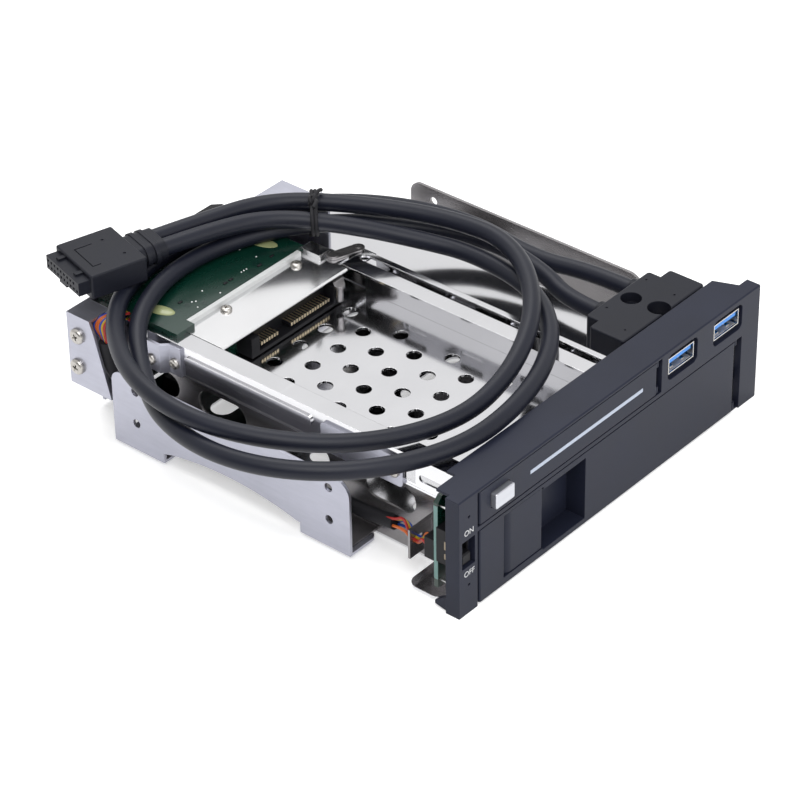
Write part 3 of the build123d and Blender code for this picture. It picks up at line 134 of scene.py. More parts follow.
class Graph:
    """A material's nodes around one Principled surface."""

    def __init__(self, name: str) -> None:
        """Start an empty material."""
        self.material = bpy.data.materials.new(name)
        self.material.use_nodes = True
        self.tree = self.material.node_tree
        self.tree.nodes.clear()
        self.surface = self.tree.nodes.new("ShaderNodeBsdfPrincipled")
        output = self.tree.nodes.new("ShaderNodeOutputMaterial")
        self.tree.links.new(self.surface.outputs[0], output.inputs["Surface"])

    def set(self, owner: bpy.types.Node, socket: Union[str, int], value: Value) -> None:
        """Link a wire to a node's input, or write a value on it."""
        if isinstance(value, Wire):
            self.tree.links.new(value.socket, owner.inputs[socket])
        else:
            owner.inputs[socket].default_value = value

    def node(self, kind: str, settings: Dict[str, object], inputs: Dict[Union[str, int], Value],
             output: Union[str, int] = 0) -> Wire:
        """Add a node.

        Args:
            kind: The node's type.
            settings: Its own options, set before its inputs.
            inputs: Values or wires by input name or number.
            output: The output to hand back.

        Returns:
            The chosen output.
        """
        made = self.tree.nodes.new(kind)
        for name, value in settings.items():
            setattr(made, name, value)
        for socket, value in inputs.items():
            self.set(made, socket, value)
        return Wire(self, made.outputs[output])

    def where(self) -> Wire:
        """Give Object coordinates, which are the row frame's metres."""
        return self.node("ShaderNodeTexCoord", {}, {}, "Object")

    def stretched(self, stretch: Point) -> Wire:
        """Give Object coordinates scaled along each axis."""
        return self.node("ShaderNodeMapping", {}, {"Vector": self.where(), "Scale": stretch})

    def noise(self, size: float, detail: float = 3.0, stretch: Point = (1, 1, 1)) -> Wire:
        """Give cloudy noise from 0 to 1 whose blots are about a size in millimetres across."""
        inputs = {"Vector": self.stretched(stretch), "Scale": 1 / (size * MM), "Detail": detail,
                  "Roughness": OCTAVE_SHARE}
        return self.node("ShaderNodeTexNoise", {}, inputs)

    def cells(self, size: float) -> Wire:
        """Give the distance to scattered points about a size in millimetres apart."""
        return self.node("ShaderNodeTexVoronoi", {"feature": "F1"},
                         {"Vector": self.where(), "Scale": 1 / (size * MM)}, "Distance")

    def blend(self, factor: Value, low: Value, high: Value) -> Wire:
        """Mix two colours by a factor."""
        made = self.tree.nodes.new("ShaderNodeMix")
        made.data_type = "RGBA"
        for number, value in ((0, factor), (6, low), (7, high)):
            if not isinstance(value, Wire) and number > 0:
                value = (*value[:3], 1.0)
            self.set(made, number, value)
        return Wire(self, made.outputs[2])

    def relief(self, height: Wire, depth: float, edge: float = 0.0) -> Wire:
        """Give a bumped normal.

        Args:
            height: The relief from 0 to 1.
            depth: Its depth in millimetres.
            edge: Radius in millimetres to which sharp edges look rounded.

        Returns:
            The normal.
        """
        inputs: Dict[Union[str, int], Value] = {"Height": height, "Distance": depth * MM, "Strength": 1.0}
        if edge > 0:
            inputs["Normal"] = self.node("ShaderNodeBevel", {"samples": 6}, {"Radius": edge * MM})
        return self.node("ShaderNodeBump", {}, inputs)

    def finish(self, **sockets: Value) -> bpy.types.Material:
        """Write values and wires on the surface's sockets, named with underscores for spaces."""
        for name, value in sockets.items():
            socket = name.replace("_", " ")
            if socket == "Base Color" and not isinstance(value, Wire):
                value = (*value[:3], 1.0)
            self.set(self.surface, socket, value)
        return self.material


@dataclass(frozen=True)
class Finish:
    """A named finish whose material is made once, with its grain sizes and depths in millimetres."""

    name: str
    made: ClassVar[Dict[str, bpy.types.Material]] = {}

    def material(self) -> bpy.types.Material:
        """Give the finish's material, made at its first use."""
        if self.name not in Finish.made:
            Finish.made[self.name] = self.build(Graph(self.name))
        return Finish.made[self.name]

    def build(self, graph: Graph) -> bpy.types.Material:
        """Build the material; each finish has its own."""
        raise NotImplementedError


@dataclass(frozen=True)
class MouldedPlastic(Finish):
    """Moulded plastic with a fine spark-eroded grain and faint handling shine."""

    colour: Colour
    roughness: float = 0.45
    grain: float = 0.22
    depth: float = 0.006
    edge: float = 0.25
    cloud: float = 18.0
    darkest: float = 0.86
    lightest: float = 1.12
    shine: float = 0.12
    grip: float = 0.06
    mirror: float = 0.18

    def build(self, graph: Graph) -> bpy.types.Material:
        """Build the material."""
        grain = graph.noise(self.grain, 4.0)
        cloud = graph.noise(self.cloud, 4.0)
        dark = shade(self.colour, self.darkest)
        light = shade(self.colour, self.lightest)
        return graph.finish(
            Base_Color=graph.blend(cloud.spread(0.3, 0.7), dark, light),
            Roughness=self.roughness - self.shine / 2 + self.shine * cloud + self.grip * grain,
            Normal=graph.relief(grain, self.depth, self.edge),
            Specular_IOR_Level=self.mirror,
        )


@dataclass(frozen=True)
class PlatedSheet(Finish):
    """Zinc-plated or galvanised sheet: pale, softly reflecting, with a fine rolled grain."""

    colour: Colour
    roughness: float = 0.33
    stretch: Point = (1, 1, 1)
    rolled: float = 1.1
    cloud: float = 16.0
    speck: float = 0.35
    darkest: float = 0.9
    lightest: float = 1.05
    shine: float = 0.1
    grip: float = 0.08
    depth: float = 0.004
    edge: float = 0.2

    def build(self, graph: Graph) -> bpy.types.Material:
        """Build the material."""
        rolled = graph.noise(self.rolled, 5.0, self.stretch)
        cloud = graph.noise(self.cloud, 4.0)
        specks = graph.noise(self.speck, 3.0)
        dark = shade(self.colour, self.darkest)
        light = shade(self.colour, self.lightest)
        return graph.finish(
            Base_Color=graph.blend((0.5 * rolled + 0.5 * cloud).spread(0.3, 0.7), dark, light),
            Metallic=0.85,
            Roughness=self.roughness - self.grip + self.shine * cloud + self.grip * rolled,
            Normal=graph.relief(0.6 * specks + 0.4 * rolled, self.depth, self.edge),
        )


@dataclass(frozen=True)
class PolishedSteel(Finish):
    """Bright polished stainless sheet that mirrors what stands over it, faintly wavy and scuffed."""

    colour: Colour = (0.74, 0.74, 0.76)
    roughness: float = 0.06
    wave: float = 0.02
    stretch: Point = (1, 1, 1)
    smear: float = 22.0
    brush: float = 0.5
    scuff: float = 3.0
    buckle: float = 9.0
    darkest: float = 0.88
    edge: float = 0.15

    def build(self, graph: Graph) -> bpy.types.Material:
        """Build the material."""
        smear = graph.noise(self.smear, 5.0)
        brushed = graph.noise(self.brush, 4.0, self.stretch)
        scuffs = graph.noise(self.scuff, 6.0, (0.08, 1, 1)).spread(0.62, 0.72)
        waves = graph.noise(self.buckle, 1.0)
        dark = shade(self.colour, self.darkest)
        return graph.finish(
            Base_Color=graph.blend(smear, dark, self.colour),
            Metallic=1.0,
            Roughness=self.roughness + 0.05 * smear + 0.05 * brushed + 0.06 * scuffs,
            Normal=graph.relief(waves + 0.03 * brushed, self.wave, self.edge),
        )


@dataclass(frozen=True)
class TurnedSteel(Finish):
    """Plated screw and pin steel."""

    colour: Colour = (0.5, 0.48, 0.45)
    roughness: float = 0.22
    cloud: float = 1.2
    grain: float = 0.3
    darkest: float = 0.75
    shine: float = 0.15
    depth: float = 0.004
    edge: float = 0.12

    def build(self, graph: Graph) -> bpy.types.Material:
        """Build the material."""
        cloud = graph.noise(self.cloud, 4.0)
        dark = shade(self.colour, self.darkest)
        return graph.finish(
            Base_Color=graph.blend(cloud.spread(0.35, 0.7), dark, self.colour),
            Metallic=1.0,
            Roughness=self.roughness + self.shine * cloud,
            Normal=graph.relief(graph.noise(self.grain, 3.0), self.depth, self.edge),
        )


@dataclass(frozen=True)
class CircuitBoard(Finish):
    """Green solder mask over copper, with track edges that show as a slightly lighter green."""

    name: str = "green solder mask"
    mask: Colour = (0.0008, 0.017, 0.012)
    copper: Colour = (0.0015, 0.026, 0.016)
    pour: float = 7.0
    cloud: float = 12.0
    weave: float = 0.5
    roughness: float = 0.22
    shine: float = 0.12
    lacquer: float = 0.25
    depth: float = 0.02
    edge: float = 0.1

    def build(self, graph: Graph) -> bpy.types.Material:
        """Build the material."""
        pours = graph.cells(self.pour).spread(0.30, 0.34)
        cloud = graph.noise(self.cloud, 3.0)
        mask = graph.blend(0.6 * pours + 0.4 * cloud, self.mask, self.copper)
        weave = graph.noise(self.weave, 3.0)
        return graph.finish(
            Base_Color=mask,
            Roughness=self.roughness + self.shine * cloud,
            Coat_Weight=self.lacquer,
            Coat_Roughness=self.shine,
            Normal=graph.relief(0.7 * pours + 0.3 * weave, self.depth, self.edge),
        )


@dataclass(frozen=True)
class CableJacket(Finish):
    """Soft black cable jacket with a faint extruded skin."""

    name: str = "cable jacket"
    colour: Colour = (0.004, 0.005, 0.011)
    roughness: float = 0.38
    cloud: float = 25.0
    skin: float = 0.6
    lightest: float = 1.7
    shine: float = 0.1
    grip: float = 0.05
    depth: float = 0.012
    mirror: float = 0.3

    def build(self, graph: Graph) -> bpy.types.Material:
        """Build the material."""
        cloud = graph.noise(self.cloud, 4.0)
        skin = graph.noise(self.skin, 4.0)
        return graph.finish(
            Base_Color=graph.blend(cloud, self.colour, shade(self.colour, self.lightest)),
            Roughness=self.roughness + self.shine * cloud + self.grip * skin,
            Normal=graph.relief(skin, self.depth),
            Specular_IOR_Level=self.mirror,
        )


@dataclass(frozen=True)
class Glazed(Finish):
    """Smooth glossy plastic, lacquer or hot glue."""

    colour: Colour
    roughness: float = 0.25
    lumps: float = 1.5
    depth: float = 0.01
    darkest: float = 0.85
    shine: float = 0.08
    edge: float = 0.1

    def build(self, graph: Graph) -> bpy.types.Material:
        """Build the material."""
        lumps = graph.noise(self.lumps, 3.0)
        return graph.finish(
            Base_Color=graph.blend(lumps, shade(self.colour, self.darkest), self.colour),
            Roughness=self.roughness + self.shine * lumps,
            Normal=graph.relief(lumps, self.depth, self.edge),
        )


class Finishes:
    """Every finish on the cage."""

    bezel = MouldedPlastic("slate bezel plastic", (0.0145, 0.017, 0.031), 0.4)
    housing = MouldedPlastic("dark housing plastic", (0.010, 0.011, 0.017), 0.4, 0.3, 0.01)
    black = MouldedPlastic("black connector plastic", (0.009, 0.009, 0.011), 0.42)
    cream = MouldedPlastic("cream phenolic", (0.40, 0.33, 0.24), 0.5)
    laminate = MouldedPlastic("board laminate edge", (0.20, 0.33, 0.31), 0.5)
    tape = Glazed("whitish insulating tape", (0.62, 0.63, 0.63), 0.3, 2.0, 0.05)
    ink = MouldedPlastic("white marking ink", (0.72, 0.73, 0.74), 0.5, 0.3, 0.0)
    button = PlatedSheet("satin silver button", (0.56, 0.57, 0.61), 0.28, (0.05, 1, 1))
    plated = PlatedSheet("zinc-plated sheet", (0.42, 0.425, 0.49), 0.3, (1, 0.15, 1))
    # Painted shade: a darker copy of the plated sheet, whose low colour stands in for the shade and dark
    # reflections on the cage walls, the right bracket and the upper eject lever.
    shaded = PlatedSheet("painted shade zinc-plated sheet", (0.27, 0.26, 0.265), 0.24, (1, 0.15, 1))
    polished = PolishedSteel("polished tray steel")
    plate = PolishedSteel("brushed cover steel", (0.86, 0.86, 0.87), 0.12, 0.008, (0.04, 1, 1))
    screw = TurnedSteel("plated screw steel")
    bright = TurnedSteel("bright steel shell", (0.66, 0.64, 0.61), 0.16)
    satin = TurnedSteel("satin steel", (0.72, 0.70, 0.68), 0.5)
    board = CircuitBoard()
    jacket = CableJacket()
    string = CableJacket("black string", (0.007, 0.007, 0.009), 0.6)
    blue = Glazed("blue tongue plastic", (0.03, 0.28, 0.85), 0.3)
    bar = Glazed("frosted light bar", (0.5, 0.56, 0.68), 0.3, 1.5, 0.002)
    gold = TurnedSteel("gold-plated contact", (0.78, 0.66, 0.45), 0.25)
    solder = TurnedSteel("solder", (0.6, 0.6, 0.6), 0.3)
    glue = Glazed("yellowish glue", (0.30, 0.33, 0.16), 0.18, 3.0, 0.15)


class View(Enum):
    """Where the camera of the photograph stands, in degrees."""

    AZIMUTH = -49.47281
    ELEVATION = 34.68912
    ROLL = -0.87297


@dataclass(frozen=True)
class SoftBox:
    """A square area lamp that faces the cage, in metres and watts."""

    name: str
    where: Point
    size: float
    power: float


@dataclass
class Studio:
    """Camera, floor, world and lamps, in metres."""

    target: Vector = field(default_factory=lambda: place(-72.8212, 23.0004, 67.4663))
    distance: float = 1.0062757
    lens: float = 158.4457
    sensor: float = 36.0
    floor_size: float = 6.0
    floor_tone: float = 0.86
    floor_glow: float = 0.42
    matt: float = 0.9
    ambient: float = 0.55
    faced: Point = (0, 0, 0.02)
    boxes: Tuple[SoftBox, ...] = (
        SoftBox("key box", (-0.55, -0.35, 0.95), 0.7, 7.0),
        SoftBox("back box", (0.35, 0.5, 1.1), 0.7, 6.0),
        SoftBox("front fill", (-0.1, -1.2, 0.5), 0.8, 4.0),
    )
    card_where: Point = (-0.75, -0.05, 0.22)
    card_size: Tuple[float, float] = (0.9, 0.36)
    card_colour: Colour = (0.01, 0.01, 0.012)

    def build(self) -> None:
        """Set up all of the studio."""
        self.camera()
        self.floor()
        self.world()
        self.lamps()
        bpy.context.scene.view_settings.view_transform = "Standard"

    def camera(self) -> None:
        """Stand the camera where the photograph was taken."""
        azimuth = radians(View.AZIMUTH.value)
        elevation = radians(View.ELEVATION.value)
        roll = radians(View.ROLL.value)
        towards = Vector((sin(azimuth) * cos(elevation), -cos(azimuth) * cos(elevation), sin(elevation)))
        right = (-towards).cross(Vector(UP)).normalized()
        up = right.cross(-towards)
        rolled_right = right * cos(roll) + up * sin(roll)
        rolled_up = up * cos(roll) - right * sin(roll)
        turn = Matrix((rolled_right, rolled_up, towards)).transposed().to_4x4()
        lens = bpy.data.cameras.new("camera")
        lens.lens = self.lens
        lens.sensor_width = self.sensor
        camera = put("camera", lens)
        camera.matrix_world = Matrix.Translation(self.target + towards * self.distance) @ turn
        bpy.context.scene.camera = camera

    def floor(self) -> None:
        """Lay a pale floor that looks white away from the cage's shadow."""
        shape = bmesh.new()
        bmesh.ops.create_grid(shape, x_segments=1, y_segments=1, size=self.floor_size / 2)
        floor = put("floor", mesh_of("floor", shape))
        graph = Graph("pale floor")
        rays = self.seen_rays(graph)
        graph.finish(Base_Color=(self.floor_tone,) * 3, Roughness=self.matt,
                     Emission_Color=(1.0, 1.0, 1.0, 1.0), Emission_Strength=rays * self.floor_glow)
        floor.data.materials.append(graph.material)

    @staticmethod
    def seen_rays(graph: Graph) -> Wire:
        """Give 1 for rays from the camera and for those seen in metal or glass."""
        path = graph.node("ShaderNodeLightPath", {}, {}, "Is Camera Ray")
        owner = path.socket.node
        glossy = Wire(graph, owner.outputs["Is Glossy Ray"])
        through = Wire(graph, owner.outputs["Is Transmission Ray"])
        return (path + glossy + through).spread(0.0, 1.0)

    def world(self) -> None:
        """Surround the cage with soft light that looks white to the camera."""
        world = bpy.data.worlds.new("studio")
        world.use_nodes = True
        tree = world.node_tree
        background = tree.nodes["Background"]
        path = tree.nodes.new("ShaderNodeLightPath")
        shown = path.outputs["Is Camera Ray"]
        for ray in ("Is Glossy Ray", "Is Transmission Ray"):
            either = tree.nodes.new("ShaderNodeMath")
            either.operation = "MAXIMUM"
            tree.links.new(shown, either.inputs[0])
            tree.links.new(path.outputs[ray], either.inputs[1])
            shown = either.outputs[0]
        level = tree.nodes.new("ShaderNodeMapRange")
        level.inputs["From Max"].default_value = 1.0
        level.inputs["To Min"].default_value = self.ambient
        level.inputs["To Max"].default_value = 1.0
        tree.links.new(shown, level.inputs["Value"])
        background.inputs["Color"].default_value = (1, 1, 1, 1)
        tree.links.new(level.outputs["Result"], background.inputs["Strength"])
        bpy.context.scene.world = world

    def lamps(self) -> None:
        """Hang the soft boxes and stand the card."""
        for box in self.boxes:
            light = bpy.data.lights.new(box.name, "AREA")
            light.size = box.size
            light.energy = box.power
            put(box.name, light).matrix_world = self.facing(box.where)
        self.flag("left flag")

    def facing(self, where: Point) -> Matrix:
        """Give the place and turn of something that faces the cage."""
        aim = Vector(self.faced) - Vector(where)
        return Matrix.Translation(where) @ aim.to_track_quat("-Z", "Y").to_matrix().to_4x4()

    def flag(self, name: str) -> None:
        """Stand a black card that faces the cage, out of the picture, for the metal to show."""
        shape = bmesh.new()
        bmesh.ops.create_grid(shape, x_segments=1, y_segments=1, size=0.5)
        extent = Matrix.Diagonal((*self.card_size, 1, 1))
        bmesh.ops.transform(shape, matrix=self.facing(self.card_where) @ extent, verts=shape.verts)
        card = put(name.replace(" ", "_"), mesh_of(name, shape))
        graph = Graph(name)
        graph.finish(Base_Color=self.card_colour, Roughness=self.matt)
        card.data.materials.append(graph.material)
        card.visible_camera = False


def dress(nodes: Iterable[str], finish: Finish) -> None:
    """Give CAD nodes a finish."""
    for node in nodes:
        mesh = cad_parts[node].data
        mesh.materials.clear()
        mesh.materials.append(finish.material())


def add_mesh(name: str, shape: bmesh.types.BMesh, finish: Finish, body: str,
             smooth: bool = True) -> bpy.types.Object:
    """Turn a bmesh into a dressed piece that rides on a body.

    Args:
        name: The piece's name.
        shape: Its shape in the row frame, freed here.
        finish: Its finish.
        body: The CAD body that it rides on.
        smooth: Whether faces that meet at a low angle are shaded as one.

    Returns:
        The new piece.
    """
    bmesh.ops.recalc_face_normals(shape, faces=shape.faces)
    mesh = mesh_of(name, shape)
    if smooth:
        mesh.shade_smooth()
        mesh.set_sharp_from_angle(angle=SMOOTH_BELOW)
    piece = put(name, mesh)
    mesh.materials.append(finish.material())
    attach(piece, body)
    return piece


def add_curve(name: str, points: Sequence[Vector], radius: float, finish: Finish,
              sides: int = 8) -> bpy.types.Object:
    """Draw a round cord as one open NURBS spline.

    Args:
        name: The piece's name.
        points: The spline's control points, in metres.
        radius: The cord's radius in metres.
        finish: Its finish.
        sides: How finely its round section is drawn.

    Returns:
        The new piece, which rides on the cage.
    """
    curve = bpy.data.curves.new(name, "CURVE")
    curve.dimensions = "3D"
    curve.bevel_depth = radius
    curve.bevel_resolution = sides
    curve.resolution_u = 12
    curve.use_fill_caps = True
    spline = curve.splines.new("NURBS")
    spline.points.add(len(points) - 1)
    for control, point in zip(spline.points, points):
        control.co = (*point, 1.0)
    spline.order_u = 3
    spline.use_endpoint_u = True
    spline.use_smooth = True
    piece = put(name, curve)
    curve.materials.append(finish.material())
    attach(piece, "cage")
    return piece


def add_box(shape: bmesh.types.BMesh, low: Point, high: Point) -> None:
    """Add a block to a shape between two corners given as place() takes them."""
    first, second = place(*low), place(*high)
    middle = (first + second) / 2
    extent = Matrix.Diagonal((*(second - first), 1.0))
    bmesh.ops.create_cube(shape, size=1.0, matrix=Matrix.Translation(middle) @ extent)


def add_box_at(shape: bmesh.types.BMesh, box: Box, x: float, z: float) -> None:
    """Add a block whose corners are given from a middle x and a height."""
    low, high = ((x + corner[0], corner[1], z + corner[2]) for corner in box)
    add_box(shape, low, high)


def add_ball(shape: bmesh.types.BMesh, where: Matrix, radii: Point, segments: int) -> None:
    """Add a ball flattened to three radii in millimetres, with half as many rings as segments."""
    extent = Matrix.Diagonal((*(radius * MM for radius in radii), 1.0))
    bmesh.ops.create_uvsphere(shape, u_segments=segments, v_segments=segments // 2, radius=1.0,
                              matrix=where @ extent)


def soften(shape: bmesh.types.BMesh, width: float, steps: int) -> None:
    """Round every edge of a shape by a width in millimetres."""
    bmesh.ops.bevel(shape, geom=shape.edges, offset=width * MM, segments=steps, affect="EDGES",
                    profile=0.5, material=-1)


def join(target: bmesh.types.BMesh, shape: bmesh.types.BMesh, where: Matrix) -> None:
    """Add a moved copy of a shape to a target shape."""
    copy = shape.copy()
    bmesh.ops.transform(copy, matrix=where, verts=copy.verts)
    mesh = mesh_of("copy", copy)
    target.from_mesh(mesh)
    bpy.data.meshes.remove(mesh)


def carve(shape: bmesh.types.BMesh, cutter: bmesh.types.BMesh) -> bmesh.types.BMesh:
    """Subtract one closed shape from another, freeing both.

    Args:
        shape: The shape to cut.
        cutter: What is taken away.

    Returns:
        The cut shape.
    """
    blanks = [put(name, mesh_of(name, source)) for name, source in (("blank", shape), ("cutter", cutter))]
    cut = blanks[0].modifiers.new("cut", "BOOLEAN")
    cut.operation = "DIFFERENCE"
    cut.object = blanks[1]
    result = bmesh.new()
    result.from_object(blanks[0], bpy.context.evaluated_depsgraph_get())
    for blank in blanks:
        mesh = blank.data
        bpy.data.objects.remove(blank)
        bpy.data.meshes.remove(mesh)
    return result


@dataclass(frozen=True)
class PanScrew:
    """Cross-recess pan-head screws that stand for one CAD node, sizes in millimetres.

    The crown is given in shares of the head's radius and height, the recess's arms in shares of both, and
    the taper is how far an arm's lower end narrows along each axis.
    """

    node: str
    places: Tuple[Point, ...]
    axis: Point
    head_radius: float
    head_height: float
    shank_radius: float
    shank_length: float
    crown: ClassVar[Tuple[Tuple[float, float], ...]] = (
        (1.0, 0.0), (1.0, 0.35), (0.96, 0.62), (0.84, 0.86), (0.62, 1.0), (0.0, 1.0),
    )
    steps: ClassVar[int] = 36
    merge_within: ClassVar[float] = 0.001
    arm_length: ClassVar[float] = 1.15
    arm_width: ClassVar[float] = 0.26
    arm_depth: ClassVar[float] = 1.3
    arm_taper: ClassVar[Point] = (0.45, 0.7, 1.0)
    first_turn: ClassVar[float] = 0.4
    next_turn: ClassVar[float] = 0.9

    def blank(self) -> bmesh.types.BMesh:
        """Spin the screw upright, with its head's seat at the origin."""
        shape = bmesh.new()
        profile = (
            (0.0, -self.shank_length), (self.shank_radius, -self.shank_length), (self.shank_radius, 0.0),
            *((across * self.head_radius, up * self.head_height) for across, up in self.crown),
        )
        points = [shape.verts.new((across, 0.0, up)) for across, up in profile]
        edges = [shape.edges.new(pair) for pair in zip(points, points[1:])]
        bmesh.ops.spin(shape, geom=points + edges, cent=(0, 0, 0), axis=UP, angle=2 * pi,
                       steps=self.steps, use_merge=True)
        bmesh.ops.remove_doubles(shape, verts=shape.verts, dist=self.merge_within)
        bmesh.ops.recalc_face_normals(shape, faces=shape.faces)
        return shape

    def recess(self) -> List[bmesh.types.BMesh]:
        """Build the cross that the driver enters: two bars that narrow downwards."""
        extent = (self.arm_length * self.head_radius, self.arm_width * self.head_radius,
                  self.arm_depth * self.head_height)
        arms = []
        for turn in (0.0, pi / 2):
            arm = bmesh.new()
            made = bmesh.ops.create_cube(arm, size=1.0)
            bmesh.ops.scale(arm, vec=extent, verts=made["verts"])
            low = [vert for vert in arm.verts if vert.co.z < 0]
            bmesh.ops.scale(arm, vec=self.arm_taper, verts=low)
            raised = Matrix.Translation((0, 0, self.head_height)) @ Matrix.Rotation(turn, 4, "Z")
            bmesh.ops.transform(arm, matrix=raised, verts=arm.verts)
            arms.append(arm)
        return arms

    def build(self, finish: Finish = Finishes.screw) -> None:
        """Set the screws in their places."""
        first = self.blank()
        for arm in self.recess():
            first = carve(first, arm)
        bmesh.ops.scale(first, vec=(MM, MM, MM), verts=first.verts)
        turn = Vector(UP).rotation_difference(Vector(self.axis)).to_matrix().to_4x4()
        shape = bmesh.new()
        for number, spot in enumerate(self.places):
            spin = Matrix.Rotation(self.first_turn + self.next_turn * number, 4, "Z")
            join(shape, first, Matrix.Translation(place(*spot)) @ turn @ spin)
        first.free()
        piece = add_mesh(self.node + "_pan", shape, finish, "cage")
        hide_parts(self.node)


@dataclass
class UsbCables:
    """The two jacketed USB cables, coiled once over the cage, and their header plug.

    The radius and the lengths are in metres, heights and the collar's depth in millimetres.
    """

    radius: float = 2.9 * MM
    lengths: Tuple[float, float] = (0.576, 0.563)
    leave_z: float = 52.2
    enter_z: float = 36.2
    collar: float = 35.0

    def route_a(self) -> List[Point]:
        """List the control points of the first cable, from the header plug to the USB housing."""
        return [
            (-36.89, 155.32, self.leave_z), (-20.09, 150.42, self.leave_z), (4, 143, 51.6), (19.5, 122, 51.4),
            (33, 93, 50.9), (35, 67, 50.6), (14, 41, 49.6), (-15, 27, 45.5), (-46, 24, 44),
            (-77.5, 42, 44.5), (-97, 75, 46.8), (-96.5, 107.5, 49), (-72, 141, 45.3), (-46, 154, 45.2),
            (-14, 152.5, 45.2), (13, 142.5, 46.3), (34, 122, 45), (50.5, 97, 39.5), (49.5, 70.5, 36),
            (54.5, 50.5, self.enter_z), (54.5, self.collar, self.enter_z),
        ]

    def route_b(self) -> List[Point]:
        """List the control points of the second cable, from the header plug to the USB housing."""
        return [
            (-38.71, 149.08, self.leave_z), (-23.35, 144.6, self.leave_z), (-3, 136.2, 51.3),
            (11, 116.5, 49.5), (23.5, 98, 45.4), (31, 78, 43.6), (25.5, 49, 43.6), (6, 28, 43.6),
            (-24, 16, 44), (-56, 15, 44), (-85.5, 33, 43.6), (-101, 62, 42.8), (-98, 94, 41),
            (-81.5, 119, 41), (-66, 135.5, 45.6), (-39, 146, 45.2), (-11, 142.5, 45.2), (12.5, 128.5, 45.2),
            (31, 107, 43.6), (43, 82, 41.5), (42, 60, 38.5), (37.5, 48, self.enter_z),
            (37.5, self.collar, self.enter_z),
        ]

    def build(self) -> None:
        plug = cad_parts["header_connector"]
        for name, route, length, carried in (
                ("usb_cord_a", self.route_a(), self.lengths[0], [plug, *StringTie().build()]),
                ("usb_cord_b", self.route_b(), self.lengths[1], [plug])):
            points = [place(*point) for point in reversed(route)]
            cord = add_curve(name, points, self.radius, Finishes.jacket, 10)
            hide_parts(name.replace("cord", "cable"))
        dress(["header_connector"], Finishes.housing)


@dataclass
class StringTie:
    """Black string knotted round the coil's four strands, sizes in millimetres.

    Strands are places in the loop's plane, along it and up from its middle, in the order that the string
    meets them. A turn has its place forward of the plane and its slant, and bights are in that frame too.
    """

    middle: Point = (12.5, 131.5, 48.0)
    across: Point = (0.75, 0.66, 0.0)
    strands: Tuple[Tuple[float, float], ...] = ((-3.37, -2.9), (8.03, -2.09), (0.0, 3.5), (-9.97, 2.27))
    strand_radius: float = 2.9
    string_radius: float = 0.65
    bite: float = 0.1
    corner_steps: int = 4
    sides: int = 5
    turns: Tuple[Tuple[str, float, float], ...] = (("a", -0.8, 0.9), ("b", 0.5, 0.7))
    bights: Tuple[Tuple[str, Tuple[Point, ...]], ...] = (
        ("a", ((-6.2, 6.2, -0.9), (-7.2, 7.8, 0.2), (-5.2, 9.2, 0.9), (-3.6, 7.6, 0.1), (-5.0, 6.0, -0.6))),
        ("b", ((-4.6, 6.4, 1.0), (-3.4, 7.4, 0.0), (-5.2, 8.3, -1.0), (-7.4, 7.2, -0.2), (-6.0, 6.1, 0.9))),
        ("tail_a", ((-5.4, 7.4, 0.6), (-7.6, 8.6, 1.4), (-9.8, 8.9, 1.2), (-11.4, 8.2, 0.4))),
        ("tail_b", ((-4.8, 7.6, 0.4), (-3.2, 9.0, 1.6), (-1.2, 8.6, 2.4), (0.4, 7.6, 2.8))),
    )

    def spot(self, along: float, up: float, forward: float) -> Vector:
        """Give the row frame's place of a point in the loop's own plane."""
        side = Vector(self.across).normalized()
        ahead = side.cross(Vector(UP))
        return place(*self.middle) + (side * along + Vector(UP) * up + ahead * forward) * MM

    def loop(self, forward: float, slant: float) -> List[Vector]:
        """List the points of one turn of string that hugs the strands, from the knot round to it."""
        reach = self.strand_radius + self.string_radius - self.bite
        points: List[Vector] = []
        count = len(self.strands)
        for number in range(count + 1):
            here = self.strands[number % count]
            before = self.strands[(number - 1) % count]
            after = self.strands[(number + 1) % count]
            start = atan2(here[1] - before[1], here[0] - before[0]) - pi / 2
            stop = atan2(after[1] - here[1], after[0] - here[0]) - pi / 2
            while stop < start:
                stop += 2 * pi
            for step in range(self.corner_steps + 1):
                angle = start + (stop - start) * step / self.corner_steps
                share = (number + step / self.corner_steps) / count
                points.append(self.spot(here[0] + reach * cos(angle), here[1] + reach * sin(angle),
                                        forward + slant * share))
        return points

    def build(self) -> List[bpy.types.Object]:
        """Draw two turns, the knot's bights and two tails, and give the pieces."""
        routes = [("tie_turn_" + name, self.loop(forward, slant)) for name, forward, slant in self.turns]
        routes += [("tie_knot_" + name, [self.spot(*point) for point in bight])
                   for name, bight in self.bights]
        pieces = [add_curve(name, route, self.string_radius * MM, Finishes.string, self.sides)
                  for name, route in routes]
        for piece in pieces:
            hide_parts("cable_tie")
        return pieces


